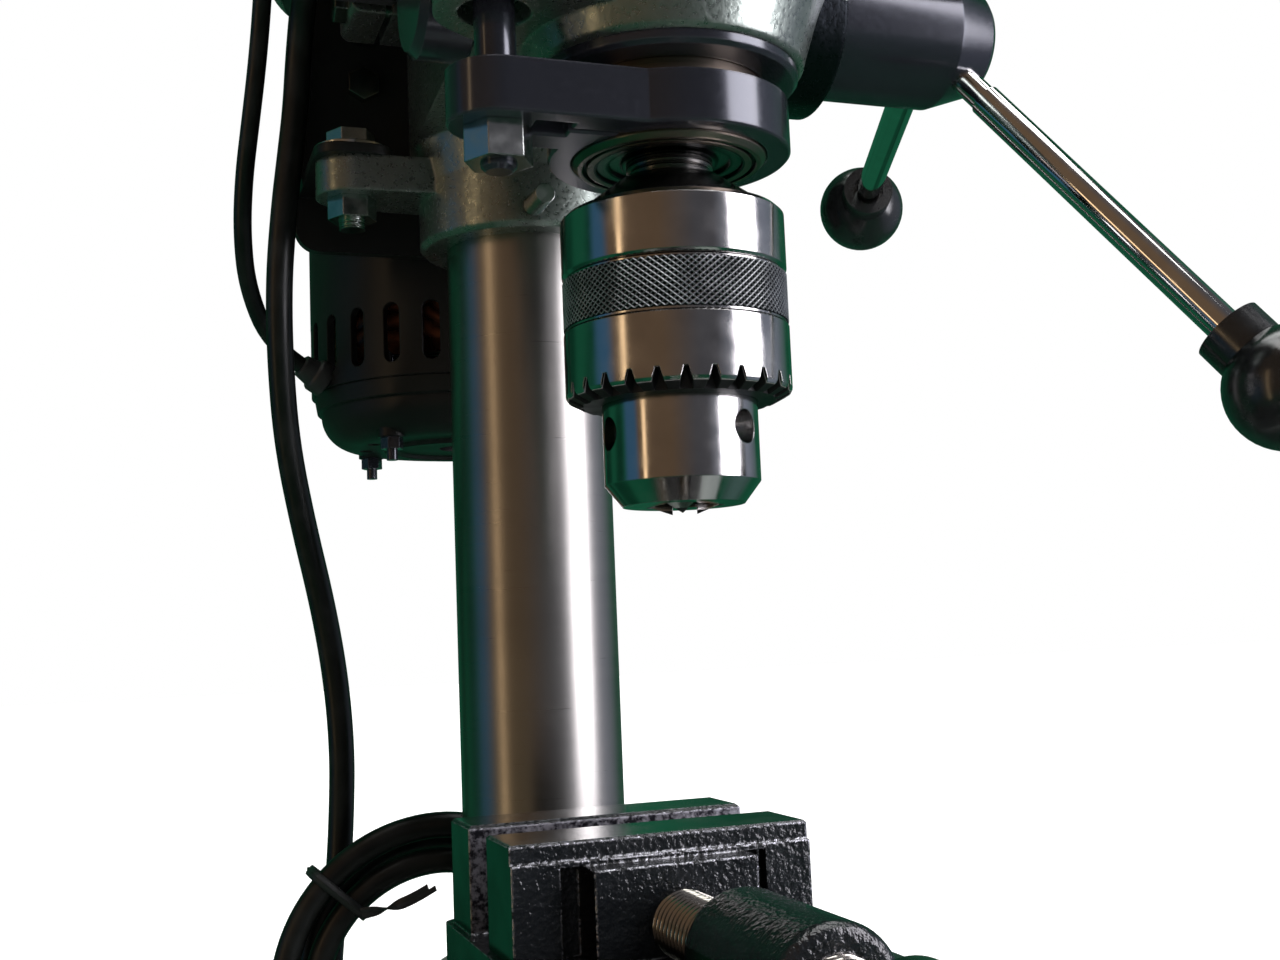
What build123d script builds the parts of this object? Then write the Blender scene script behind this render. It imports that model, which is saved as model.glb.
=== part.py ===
from build123d import *
import os
from math import acos, cos, hypot, pi, radians, sin, sqrt, tan

os.makedirs("parts", exist_ok=True)

# All sizes in millimetres. X is the operator's right, Y goes back to the motor, Z is up.
# The origin is the centre of the base's bolt holes, on the base's underside.

# Clearances
seat_gap = 0.02  # located fits that do not move
run_gap = 0.05  # shafts in bearings and sliding bores
slide_gap = 0.2  # flat guides
free_gap = 0.4  # pieces that pass each other
screw_gap = 0.4  # bolts in clearance holes

# Base
base_w = 190.0
base_l = 290.0
base_h = 22.0
base_corner_r = 24.0
base_wall = 8.0
base_top_t = 9.0
base_edge_r = 3.0
base_rib_t = 7.0
mount_dx = 150.0
mount_dy = 250.0
mount_hole_r = 4.5
mount_boss_r = 12.0

# Column and its flange
column_y = 79.0
column_r = 25.0
column_wall = 4.0
flange_r = 54.0
flange_t = 10.0
flange_boss_r = 33.0
flange_boss_h = 22.0
flange_bolt_ring_r = 44.0
flange_bolt_angles = (-90.0, 30.0, 150.0)

# Screw sizes: shank radius, width across flats, head height, nut height
m8_r = 4.0
m8_flats = 13.0
m8_head_h = 5.3
m8_nut_h = 6.8
m6_r = 3.0
m6_flats = 10.0
m6_head_h = 4.0
washer_t = 1.6

# Spindle line, chuck and quill
reach = 129.0  # spindle axis to column axis
spindle_y = column_y - reach
nose_z = 232.0  # lower edge of the chuck's nose, quill up
nose_r = 18.2
nose_tip_r = 14.3
nose_tip_h = 5.0
sleeve_low_z = nose_z + 18.6
sleeve_knurl_z = nose_z + 36.0
sleeve_top_z = nose_z + 48.2
chuck_r = 26.5
knurl_r = 26.0
chuck_ring_z = nose_z + 48.5
chuck_ring_top_z = nose_z + 63.2
chuck_top_z = nose_z + 73.6
chuck_top_r = 9.9
sleeve_wall = 3.1
sleeve_lip_h = 4.0
gear_teeth = 26
gear_phase = 3.2
gear_tooth_h = 4.8
gear_tooth_depth = 5.0
gear_gap_w = 4.1
gear_gap_top_w = 1.2
key_hole_r = 3.9
key_hole_z = nose_z + 11.5
key_hole_depth = 6.5
key_hole_angle = 63.0
jaw_count = 3
jaw_r = 3.8
jaw_tilt = 16.0
jaw_length = 34.0
jaw_proud = 2.0  # tips below the nose at rest
jaw_bevel = 22.0
jaw_opening_r = 3.3  # half the opening at rest
jaw_flank = 55.0
jaw_trim = 60.0  # wider than a jaw all round
taper_top_r = 8.6
taper_low_r = 7.4
taper_depth = 28.0
chuck_bore_r = 6.7
chuck_bore_depth = 38.0
quill_r = 23.0
quill_low_z = 307.5
quill_length = 108.5
head_over_quill = 30.0  # room for the pulley's bearings
head_top_z = quill_low_z + quill_length + head_over_quill
column_below_head = 16.0
column_top = head_top_z - column_below_head
quill_bore_r = 13.0
quill_travel = 50.0
lower_bearing_r = 17.5
lower_bearing_w = 13.0
lower_bearing_inset = 0.6
end_groove_r = 19.6
end_groove_w = 1.1
end_groove_d = 1.2
upper_bearing_r = 15.0
upper_bearing_w = 11.0
spindle_r = 8.5
spindle_tail_r = 7.2
spindle_collar_r = 10.3
spindle_over_head = 48.0
spindle_top_z = head_top_z + spindle_over_head
spline_count = 6
spline_w = 2.6
spline_depth = 1.2

# Rack and pinion
tooth_module = 1.5
pinion_teeth = 12
pinion_pitch_r = tooth_module * pinion_teeth / 2
pinion_offset = 26.2
pinion_y = spindle_y + pinion_offset
pinion_z = 358.4
pinion_face = 18.0
pinion_root_w = 1.9
pinion_tip_w = 0.75
rack_backlash = 0.3

# Head casting
body_low_z = 352.0
body_front_r = 41.0
body_rear_r = 36.0
neck_over_nose = 96.8
neck_low_z = nose_z + neck_over_nose
neck_r = 33.0
collar_low_z = 320.6
collar_r = 33.4
collar_flare_z = 340.0
lug_x = 55.0
lug_r = 11.0
lug_root_r = 14.0
lug_low_z = 335.0
lug_t = 11.0
split_x = 44.5
split_half_w = 11.5
split_low_z = 390.0
split_top_z = 420.0
split_len = 24.0
split_slit = 2.0
split_lead = 2.0  # in front of the column axis
slide_bar_r = 6.0
slide_bar_z = 406.0
split_bolt_z = 396.5
hub_boss_r = 24.0
hub_boss_x = 52.0
spring_boss_r = 19.0
spring_boss_x = -42.0
pocket_half_w = 27.0
pocket_setback = 53.0
pocket_front_y = spindle_y + pocket_setback
pocket_roof = 10.0
pocket_top_z = head_top_z - pocket_roof
mouth_ring_r = 31.5
mouth_ring_h = 3.0
set_screw_z = 326.5
set_screw_x = -6.0
set_screw_proud = 12.0
side_screw_zs = (362.0, 380.0)

# Depth stop
stop_z = nose_z + 77.0
stop_h = 12.0
stop_ring_r = 28.9
rod_x = -45.3
rod_y = spindle_y - 14.0
rod_r = 4.65
arm_end_r = 11.3
arm_window_x = -33.6
arm_window_w = 8.5
arm_screw_r = 2.5
arm_screw_head_r = 4.0
arm_screw_head_h = 5.0
arm_window_y = spindle_y - 15.8
arm_slit = 2.0
rod_nut_h = 8.3
rod_nut_flats = 13.4
rod_boss_r = 13.5
rod_boss_z = 335.0
rod_boss_h = 12.0
rod_over_boss = 81.0
rod_top_z = rod_boss_z + rod_boss_h + rod_over_boss
rod_hole_r = 8.2
rod_hole_h = 6.0
rod_channel_r = 11.5
stop_nut_flats = 14.0
stop_nut_h = 6.0

# Feed hub, spokes and knobs
hub_r = 18.4
hub_x = 52.6
hub_shoulder_x = 89.7
hub_end_x = 103.0
hub_end_r = 13.4
shaft_bore_r = 8.0
right_journal_r = 11.0
left_journal_r = 7.0
spoke_count = 3
spoke_first_angle = -3.0
spoke_root_x = 94.5
spoke_root_ring_r = 16.5
spoke_r = 4.3
spoke_neck_r = 3.7
spoke_neck_len = 9.0
spoke_sunk = 6.0
knob_x = 137.9
knob_ring_r = 129.8
knob_r = 15.25
knob_neck_r = 8.7
knob_neck_len = 20.5
knob_recess = 2.0
knob_hold = 9.0
cap_r = 18.0
cap_len = 14.0
cap_wall = 2.0
spring_turns = 5
spring_strip_t = 0.8
spring_strip_w = 8.0

# Drive
motor_setback = 99.0  # motor axis to column axis
motor_y = column_y + motor_setback
sleeve_r = 10.0
pulley_bearing_r = 21.0
pulley_bearing_w = 12.0
pulley_over_head = 9.0
pulley_low_z = head_top_z + pulley_over_head
pulley_steps = (54.0, 47.0, 40.0, 33.0, 26.0)
step_h = 10.6
groove_depth = 6.5
groove_half_w = 4.0
groove_floor_half_w = 1.9
belt_gap = 0.3
belt_t = 5.6
motor_r = 55.5
motor_wall = 3.0
motor_low_z = 270.5
shell_low_z = 290.0
shell_top_z = 396.0
motor_top_z = 425.0
bell_r = 53.5
bell_wall = 3.5
bell_edge_r = 12.5
bell_band_h = 6.0
bell_step = 1.5
bell_overlap = 5.0
bell_face_t = 2.5
vent_count = 24
vent_w = 6.0
vent_h = 21.0
vent_low_z = 295.0
shaft_r = 7.0
motor_bearing_r = 17.5
motor_bearing_w = 11.0
stator_in_r = 31.0
stator_low_z = 322.0
stator_h = 52.0
winding_h = 22.0
winding_in_r = 34.0
winding_out_r = 47.0
rotor_gap = 0.6
fan_r = 29.0
fan_blades = 8
fan_h = 14.0
tie_ring_r = 43.0
tie_r = 2.0
tie_first_angle = 42.4
tie_flats = 7.0
tie_nut_h = 4.2
tie_end = 8.2
tie_pad_r = 5.0
foot_x = 45.0
foot_half_w = 7.0
foot_low_z = 352.0
foot_top_z = 396.0

# Motor bracket
plate_setback = 37.0
plate_y = column_y + plate_setback
plate_t = 4.0
plate_half_w = 68.0
plate_low_z = 328.0
plate_top_z = 424.0
ear_t = 3.0
ear_half_w = 12.0
ear_front = 13.0
ear_slot_len = 28.0
ear_washer_r = 11.5
foot_bolt_zs = (362.0, 386.0)

# Belt guard and cover
guard_r = 64.0
guard_t = 3.0
guard_rim_h = 13.0
guard_rim_t = 2.0
cover_gap = 2.5
cover_wall = 2.5
cover_over_head = 6.0
cover_low_z = head_top_z + cover_over_head
cover_h = 64.0
cover_top_z = cover_low_z + cover_h
cover_edge_r = 8.0
hinge_gap = 2.0
hinge_over_head = 10.5
hinge_z = head_top_z + hinge_over_head
hinge_r = 5.0
hinge_pin_r = 2.5
hinge_len = 12.0
hinge_ys = (26.0, 102.0)

# Switch box
box_x0 = -88.0
box_x1 = -43.0
box_len = 58.0
box_h = 52.0
box_before_column = 21.0
box_below_head = 6.0
box_y1 = column_y - box_before_column
box_y0 = box_y1 - box_len
box_z1 = head_top_z - box_below_head
box_z0 = box_z1 - box_h
box_wall = 2.5
box_edge_r = 4.0
button_r = 8.0
button_travel = 3.0
button_proud = 5.0
button_stem = 6.0
button_inset = 13.0
button_pitch = 24.0
button_zs = (box_z1 - button_inset, box_z1 - button_inset - button_pitch)
mains_exit_x = -66.0
mains_exit_h = 24.5
lead_exit_x = -79.0
lead_exit_h = 37.0
gland_wall = 3.2
gland_len = 14.0
mains_gland_len = 22.0
grommet_len = 10.0
lead_entry_z = 293.0
lead_angle = 196.0
lead_tilt = 30.0

# Table
table_size = 165.0
table_corner_r = 14.0
table_top_z = 106.0
table_t = 12.0
table_skirt_h = 10.0
table_skirt_t = 8.0
table_hole_r = 12.0
table_sleeve_r = 34.0
table_sleeve_z = 56.0
table_sleeve_h = 44.0
table_arm_half_w = 24.0
table_slot_len = 62.0
table_slot_w = 11.0
table_slot_x = 47.0
table_ear_x = -62.0
table_ear_half_w = 13.0
table_ear_z = 66.0
table_ear_h = 26.0
table_slit = 3.0
lock_x = -48.0
lock_hub_r = 7.5
lock_hub_len = 12.0
lock_arm_r = 4.0
lock_arm_len = 62.0
lock_arm_dip = 30.0
lock_knob_r = 9.0

# Vise
vise_x = -15.7
vise_h = 50.0
jaw_h = 24.0
jaw_w = 67.0
fixed_jaw_setback = 17.0  # behind the spindle
fixed_jaw_y = spindle_y + fixed_jaw_setback
fixed_jaw_t = 18.0
jaw_gap = 17.0
moving_jaw_t = 20.5
vise_body_w = 71.0
vise_tail = 4.0
vise_rear_y = fixed_jaw_y + fixed_jaw_t + vise_tail
vise_len = 137.5
vise_front_y = vise_rear_y - vise_len
rail_slot_w = 22.0
rail_t = 12.0
undercut_w = 40.0
screw_z_below_top = 17.0
vise_boss_r = 12.0
vise_boss_len = 42.0
vise_boss_y = vise_front_y + vise_boss_len
boss_dome = 4.8
boss_rim = 2.4
vise_screw_r = 7.0
vise_tip_r = 5.0
vise_tip_len = 15.0
vise_head_r = 11.0
vise_head_len = 22.0
vise_head_gap = 4.0
bar_r = 4.0
bar_len = 96.0
bar_end_r = 6.2
jaw_block_w = 36.0
jaw_block_t = 7.0
jaw_block_drop = 5.2
jaw_groove_w = 5.0
jaw_groove_d = 4.0
jaw_lip_h = 4.0
jaw_ledge = 1.2
jaw_edge = 0.5
keeper_t = 5.5
keeper_w = 37.0
keeper_inset = 2.0
ear_x = 44.0
vise_ear_r = 12.0
vise_ear_h = 10.0
vise_bolt_lead = 25.0  # in front of the spindle
vise_bolt_y = spindle_y - vise_bolt_lead
vise_slot_len = 16.0

# Cords
cord_d = 8.5
lead_d = 6.0
coil_x = -25.0
coil_turn_r = 53.0  # middle of the outermost turn
coil_step = 9.1
layer_halves = 3  # half turns in each layer
coil_stand_gap = 0.3
coil_front_gap = 1.0
drop_gap = 2.75  # room for the tie between the hanging cord and the coil
tie_angle = 138.0
tie_out_r = 54.6
tie_band = 1.2
tie_band_w = 4.0
tie_corner_r = 4.0
plug_r = 17.0
plug_len = 34.0
plug_pin_r = 2.4
plug_pin_len = 19.0
plug_pin_x = 9.5
plug_x = 76.0
plug_y = -16.0

up = (0, 0, 1)
right = (1, 0, 0)
back = (0, 1, 0)


def place(origin, axis, radial=None):
    """A plane at origin whose normal is the given axis."""
    if radial is None:
        return Plane(origin=origin, z_dir=axis)
    return Plane(origin=origin, x_dir=radial, z_dir=axis)


def rod(plane, radius, length, mode=Mode.ADD):
    """A cylinder that starts on a plane and runs along its normal."""
    with Locations(plane):
        Cylinder(radius, length, align=(Align.CENTER, Align.CENTER, Align.MIN), mode=mode)


def hexagon(plane, flats, height, mode=Mode.ADD):
    """A hexagonal prism on a plane."""
    with BuildSketch(plane) as outline:
        RegularPolygon(radius=flats / 2, side_count=6, major_radius=False)
    extrude(outline.sketch, amount=height, mode=mode)


def turned(origin, axis, radial, profile, mode=Mode.ADD, rounded=()):
    """A solid of revolution: the profile's points are (radius, height along the axis), some of them rounded."""
    flat = Plane(origin=origin, x_dir=radial, z_dir=Vector(*radial).cross(Vector(*axis)))
    with BuildSketch(flat) as half:
        with BuildLine():
            Polyline(*profile, close=True)
        make_face()
        for corner, radius in rounded:
            fillet(half.vertices().sort_by_distance(corner)[0], radius)
    revolve(half.sketch, axis=Axis(origin, axis), mode=mode)


def ball(centre, axis, ball_r, neck_r, neck_len, hole_r, hole_end):
    """A ball knob turned on its axis, with a neck behind the ball and a blind hole."""
    side = Plane(origin=centre, z_dir=axis).x_dir
    flat = Plane(origin=centre, x_dir=side, z_dir=side.cross(axis))
    neck_top = -sqrt(ball_r ** 2 - neck_r ** 2)
    with BuildSketch(flat) as half:
        with BuildLine():
            Polyline((0, ball_r), (0, -hole_end), (hole_r, -hole_end), (hole_r, -neck_len), (neck_r, -neck_len),
                     (neck_r, neck_top))
            ThreePointArc((neck_r, neck_top), (ball_r, 0), (0, ball_r))
        make_face()
    revolve(half.sketch, axis=Axis(centre, axis))


def block(low, high, mode=Mode.ADD):
    """A box between two corners."""
    size = [b - a for a, b in zip(low, high)]
    with Locations(low):
        Box(*size, align=(Align.MIN, Align.MIN, Align.MIN), mode=mode)


def bolt(head_seat, axis, shank_r, flats, head_h, length):
    """A hexagon bolt: the head stands on its seat, the shank goes the other way."""
    hexagon(place(head_seat, axis), flats, head_h)
    rod(place(head_seat, Vector(*axis) * -1), shank_r, length)


def save(piece, name):
    piece.part.label = name
    export_step(piece.part, f"parts/{name}.step")


def on_ring(radius, angle, height, centre_y):
    return (radius * cos(radians(angle)), centre_y + radius * sin(radians(angle)), height)


spindle_foot = (0, spindle_y, 0)
column_foot = (0, column_y, 0)
motor_foot = (0, motor_y, 0)
pinion_root = (0, pinion_y, pinion_z)

# Base: a ribbed cast plate, open below
flange_bolt_points = [on_ring(flange_bolt_ring_r, a, base_h, column_y) for a in flange_bolt_angles]
with BuildPart() as base:
    with BuildSketch():
        RectangleRounded(base_w, base_l, base_corner_r)
    extrude(amount=base_h)
    fillet(base.faces().sort_by(Axis.Z)[-1].edges(), base_edge_r)
    with BuildSketch():
        RectangleRounded(base_w - 2 * base_wall, base_l - 2 * base_wall, base_corner_r - base_wall)
        with Locations((0, 0)):
            Rectangle(base_rib_t, base_l, mode=Mode.SUBTRACT)
        with Locations((0, column_y - flange_r), (0, spindle_y)):
            Rectangle(base_w, base_rib_t, mode=Mode.SUBTRACT)
        with Locations(column_foot):
            Circle(flange_bolt_ring_r + mount_boss_r, mode=Mode.SUBTRACT)
        with GridLocations(mount_dx, mount_dy, 2, 2):
            Circle(mount_boss_r, mode=Mode.SUBTRACT)
    extrude(amount=base_h - base_top_t, mode=Mode.SUBTRACT)
    with BuildSketch():
        with GridLocations(mount_dx, mount_dy, 2, 2):
            Circle(mount_hole_r)
    extrude(amount=base_h, mode=Mode.SUBTRACT)
    for point in flange_bolt_points:
        rod(place(point, (0, 0, -1)), m8_r + seat_gap, base_h, mode=Mode.SUBTRACT)
save(base, "base")

# Column flange: a round cast foot that clamps the column to the base
flange_top_z = base_h + flange_t
flange_boss_top_z = flange_top_z + flange_boss_h
with BuildPart() as column_flange:
    turned(column_foot, up, right, [
        (column_r + seat_gap, base_h), (flange_r, base_h), (flange_r, flange_top_z - 2),
        (flange_r - 2, flange_top_z), (flange_boss_r + 4, flange_top_z), (flange_boss_r, flange_top_z + 5),
        (flange_boss_r, flange_boss_top_z - 1.5), (flange_boss_r - 1.5, flange_boss_top_z),
        (column_r + seat_gap, flange_boss_top_z)])
    for point in flange_bolt_points:
        rod(place(point, up), m8_r + screw_gap, flange_t, mode=Mode.SUBTRACT)
save(column_flange, "column_flange")

with BuildPart() as flange_bolts:
    for x, y, _ in flange_bolt_points:
        bolt((x, y, flange_top_z), up, m8_r, m8_flats, m8_head_h, flange_t + base_h - base_wall)
save(flange_bolts, "flange_bolts")

# Column: a ground steel tube
with BuildPart() as column:
    rod(place((0, column_y, base_h), up), column_r, column_top - base_h)
    rod(place((0, column_y, base_h), up), column_r - column_wall, column_top - base_h, mode=Mode.SUBTRACT)
    chamfer(column.edges().filter_by(GeomType.CIRCLE).sort_by(Axis.Z)[-2:], 1.0)
save(column, "column")

# Table: a cast plate with a skirt below and a split sleeve on the column
table_low_z = table_top_z - table_t
lock_z = table_ear_z + table_ear_h / 2
slot_points = [(table_slot_x, vise_bolt_y), (-table_slot_x, vise_bolt_y)]
with BuildPart() as table:
    with BuildSketch(Plane.XY.offset(table_low_z - table_skirt_h)):
        with Locations((0, spindle_y)):
            RectangleRounded(table_size, table_size, table_corner_r)
    extrude(amount=table_t + table_skirt_h)
    fillet(table.faces().sort_by(Axis.Z)[-1].edges(), 2.0)
    with BuildSketch(Plane.XY.offset(table_low_z - table_skirt_h)):
        with Locations((0, spindle_y)):
            inner = table_size - 2 * table_skirt_t
            RectangleRounded(inner, inner, table_corner_r - table_skirt_t)
    extrude(amount=table_skirt_h, mode=Mode.SUBTRACT)
    arm_front_y = spindle_y + table_size / 2 - table_skirt_t
    block((-table_arm_half_w, arm_front_y, table_sleeve_z + 6),
          (table_arm_half_w, column_y, table_low_z + 2))
    rod(place((0, column_y, table_sleeve_z), up), table_sleeve_r, table_sleeve_h)
    block((table_ear_x, column_y - table_ear_half_w, table_ear_z),
          (-column_r - 4, column_y + table_ear_half_w, table_ear_z + table_ear_h))
    rod(place((0, column_y, table_sleeve_z), up), column_r + run_gap, table_sleeve_h, mode=Mode.SUBTRACT)
    block((table_ear_x, column_y - table_slit / 2, table_sleeve_z),
          (0, column_y + table_slit / 2, table_sleeve_z + table_sleeve_h), mode=Mode.SUBTRACT)
    rod(place((lock_x, column_y - table_ear_half_w, lock_z), back), m8_r + run_gap, 2 * table_ear_half_w,
        mode=Mode.SUBTRACT)
    with BuildSketch(Plane.XY.offset(table_low_z)):
        with Locations(*slot_points):
            SlotOverall(table_slot_len, table_slot_w)
        with Locations((0, spindle_y)):
            Circle(table_hole_r)
    extrude(amount=table_t, mode=Mode.SUBTRACT)
save(table, "table")

# Table lock: a screw with a lever that closes the split sleeve
lock_front_y = column_y - table_ear_half_w
lock_mid_y = lock_front_y - free_gap - lock_hub_len / 2
lock_dir = Vector(-cos(radians(lock_arm_dip)), 0, -sin(radians(lock_arm_dip)))
with BuildPart() as table_lock_lever:
    rod(place((lock_x, lock_front_y - free_gap - lock_hub_len, lock_z), back), lock_hub_r, lock_hub_len)
    rod(place((lock_x, lock_mid_y, lock_z), back), m8_r, 2 * table_ear_half_w + lock_hub_len / 2)
    rod(place((lock_x, lock_mid_y, lock_z), lock_dir), lock_arm_r, lock_arm_len)
    chamfer(table_lock_lever.edges().filter_by(GeomType.CIRCLE).group_by(Axis.Y)[0], 1.2)
save(table_lock_lever, "table_lock_lever")

with BuildPart() as table_lock_knob:
    knob_centre = Vector(lock_x, lock_mid_y, lock_z) + lock_dir * lock_arm_len
    ball(knob_centre, lock_dir, lock_knob_r, lock_arm_r + 2, lock_knob_r + 1, lock_arm_r + seat_gap, -seat_gap)
save(table_lock_knob, "table_lock_knob")

# Vise body: rails, fixed jaw, two ears and the nut boss in front
vise_top_z = table_top_z + vise_h
rail_z = vise_top_z - jaw_h
screw_z = vise_top_z - screw_z_below_top
rail_low_z = rail_z - rail_t
vise_ear_points = [(vise_x - ear_x, vise_bolt_y), (vise_x + ear_x, vise_bolt_y)]
with BuildPart() as vise_boss:
    rod(place((vise_x, vise_front_y, screw_z), back), vise_boss_r, vise_boss_len)
    fillet(vise_boss.edges().filter_by(GeomType.CIRCLE).sort_by(Axis.Y)[-1], boss_dome)
    fillet(vise_boss.edges().filter_by(GeomType.CIRCLE).sort_by(Axis.Y)[0], boss_rim)
with BuildPart() as vise_body:
    block((vise_x - vise_body_w / 2, vise_front_y, table_top_z),
          (vise_x + vise_body_w / 2, vise_rear_y, rail_z))
    fillet(vise_body.edges().filter_by(Axis.Z), 5.0)
    block((vise_x - jaw_w / 2, fixed_jaw_y, rail_z),
          (vise_x + jaw_w / 2, fixed_jaw_y + fixed_jaw_t, vise_top_z))
    chamfer(vise_body.faces().sort_by(Axis.Z)[-1].edges(), 0.8)
    with BuildSketch(Plane.XY.offset(table_top_z)):
        with Locations(*vise_ear_points):
            Circle(vise_ear_r)
        with Locations((vise_x, vise_bolt_y)):
            Rectangle(2 * ear_x, 2 * vise_ear_r)
    extrude(amount=vise_ear_h)
    add(vise_boss.part)
    block((vise_x - vise_boss_r, vise_front_y + boss_rim, rail_z),
          (vise_x + vise_boss_r, vise_boss_y - boss_dome, screw_z))
    block((vise_x - rail_slot_w / 2, vise_boss_y, rail_low_z),
          (vise_x + rail_slot_w / 2, fixed_jaw_y, rail_z), mode=Mode.SUBTRACT)
    block((vise_x - undercut_w / 2, vise_boss_y, table_top_z),
          (vise_x + undercut_w / 2, fixed_jaw_y, rail_low_z), mode=Mode.SUBTRACT)
    rod(place((vise_x, vise_front_y, screw_z), back), vise_screw_r + run_gap, vise_boss_len,
        mode=Mode.SUBTRACT)
    with BuildSketch(Plane.XY.offset(table_top_z)):
        with Locations(*vise_ear_points):
            SlotOverall(vise_slot_len, 2 * (m8_r + screw_gap), rotation=90)
    extrude(amount=vise_ear_h, mode=Mode.SUBTRACT)
save(vise_body, "vise_body")

# Moving jaw: a block with a raised socket for the screw and a keel between the rails
moving_jaw_y = fixed_jaw_y - jaw_gap
jaw_front_y = moving_jaw_y - moving_jaw_t
block_front_y = jaw_front_y - jaw_block_t
rest_gap = 0.1
with BuildPart() as vise_jaw:
    jaw_end_x = vise_x + jaw_w / 2
    ledge_z = vise_top_z - jaw_lip_h
    block((vise_x - jaw_w / 2, jaw_front_y, rail_z + rest_gap), (jaw_end_x, moving_jaw_y, ledge_z))
    block((vise_x - jaw_w / 2, jaw_front_y + jaw_ledge, ledge_z), (jaw_end_x, moving_jaw_y, vise_top_z))
    chamfer(vise_jaw.faces().sort_by(Axis.Z)[-1].edges(), jaw_edge)
    with Locations((vise_x - jaw_block_w / 2 - jaw_groove_w, 0), (vise_x + jaw_block_w / 2, 0)):
        with Locations((0, jaw_front_y, rail_z + rest_gap)):
            Box(jaw_groove_w, jaw_groove_d, jaw_h - jaw_block_drop, align=(Align.MIN, Align.MIN, Align.MIN),
                mode=Mode.SUBTRACT)
    block((vise_x - jaw_block_w / 2, block_front_y, rail_z + rest_gap),
          (vise_x + jaw_block_w / 2, jaw_front_y, vise_top_z - jaw_block_drop))
    keel = rail_slot_w / 2 - slide_gap
    block((vise_x - keel, jaw_front_y, rail_low_z), (vise_x + keel, moving_jaw_y, rail_z + rest_gap))
    rod(place((vise_x, block_front_y, screw_z), back), vise_tip_r + run_gap, vise_tip_len + free_gap,
        mode=Mode.SUBTRACT)
    jaw_mid_y = (jaw_front_y + moving_jaw_y) / 2
    rod(place((vise_x, jaw_mid_y, rail_low_z), up), m6_r + seat_gap, rail_t, mode=Mode.SUBTRACT)
save(vise_jaw, "vise_jaw")

with BuildPart() as vise_keeper:
    keeper_z = rail_low_z - keeper_t
    block((vise_x - keeper_w / 2, jaw_front_y + keeper_inset, keeper_z),
          (vise_x + keeper_w / 2, moving_jaw_y - keeper_inset, rail_low_z))
    rod(place((vise_x, jaw_mid_y, keeper_z), up), m6_r + screw_gap, keeper_t, mode=Mode.SUBTRACT)
    rod(place((vise_x, jaw_mid_y, keeper_z - m6_head_h), up), m6_r, m6_head_h + keeper_t + rail_t - 1)
    hexagon(place((vise_x, jaw_mid_y, keeper_z - m6_head_h), up), m6_flats, m6_head_h)
save(vise_keeper, "vise_keeper")

# Vise screw: its tip turns in the jaw, its thread runs in the boss, its head holds the bar
vise_head_y = vise_front_y - vise_head_gap - vise_head_len - jaw_gap
bar_y = vise_head_y + vise_head_len / 2
with BuildPart() as vise_screw:
    rod(place((vise_x, vise_head_y, screw_z), back), vise_screw_r, block_front_y - free_gap - vise_head_y)
    rod(place((vise_x, block_front_y - free_gap - 1, screw_z), back), vise_tip_r, vise_tip_len + 1)
    rod(place((vise_x, vise_head_y, screw_z), back), vise_head_r, vise_head_len)
    chamfer(vise_screw.edges().filter_by(GeomType.CIRCLE).group_by(Axis.Y)[0], 1.5)
    rod(place((vise_x - vise_head_r, bar_y, screw_z), right), bar_r + run_gap, 2 * vise_head_r,
        mode=Mode.SUBTRACT)
save(vise_screw, "vise_screw")

bar_half = bar_len / 2
with BuildPart() as vise_handle:
    turned((vise_x, bar_y, screw_z), right, up, [
        (0, -bar_half - bar_end_r), (bar_r, -bar_half - bar_end_r), (bar_end_r, -bar_half - bar_r),
        (bar_end_r, -bar_half), (bar_r, -bar_half + bar_end_r - bar_r), (bar_r, bar_half - bar_end_r + bar_r),
        (bar_end_r, bar_half), (bar_end_r, bar_half + bar_r), (bar_r, bar_half + bar_end_r),
        (0, bar_half + bar_end_r)])
save(vise_handle, "vise_handle")

# Vise bolts: head under the table, washer and nut on the vise's ear
ear_top_z = table_top_z + vise_ear_h
with BuildPart() as vise_bolts:
    for x, y in vise_ear_points:
        nut_z = ear_top_z + washer_t
        hexagon(place((x, y, table_low_z - m8_head_h), up), m8_flats, m8_head_h)
        rod(place((x, y, table_low_z - m8_head_h), up), m8_r, nut_z + m8_nut_h + 3 - table_low_z + m8_head_h)
        rod(place((x, y, ear_top_z), up), m8_flats * 0.62, washer_t)
        hexagon(place((x, y, nut_z), up), m8_flats, m8_nut_h)
save(vise_bolts, "vise_bolts")

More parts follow.
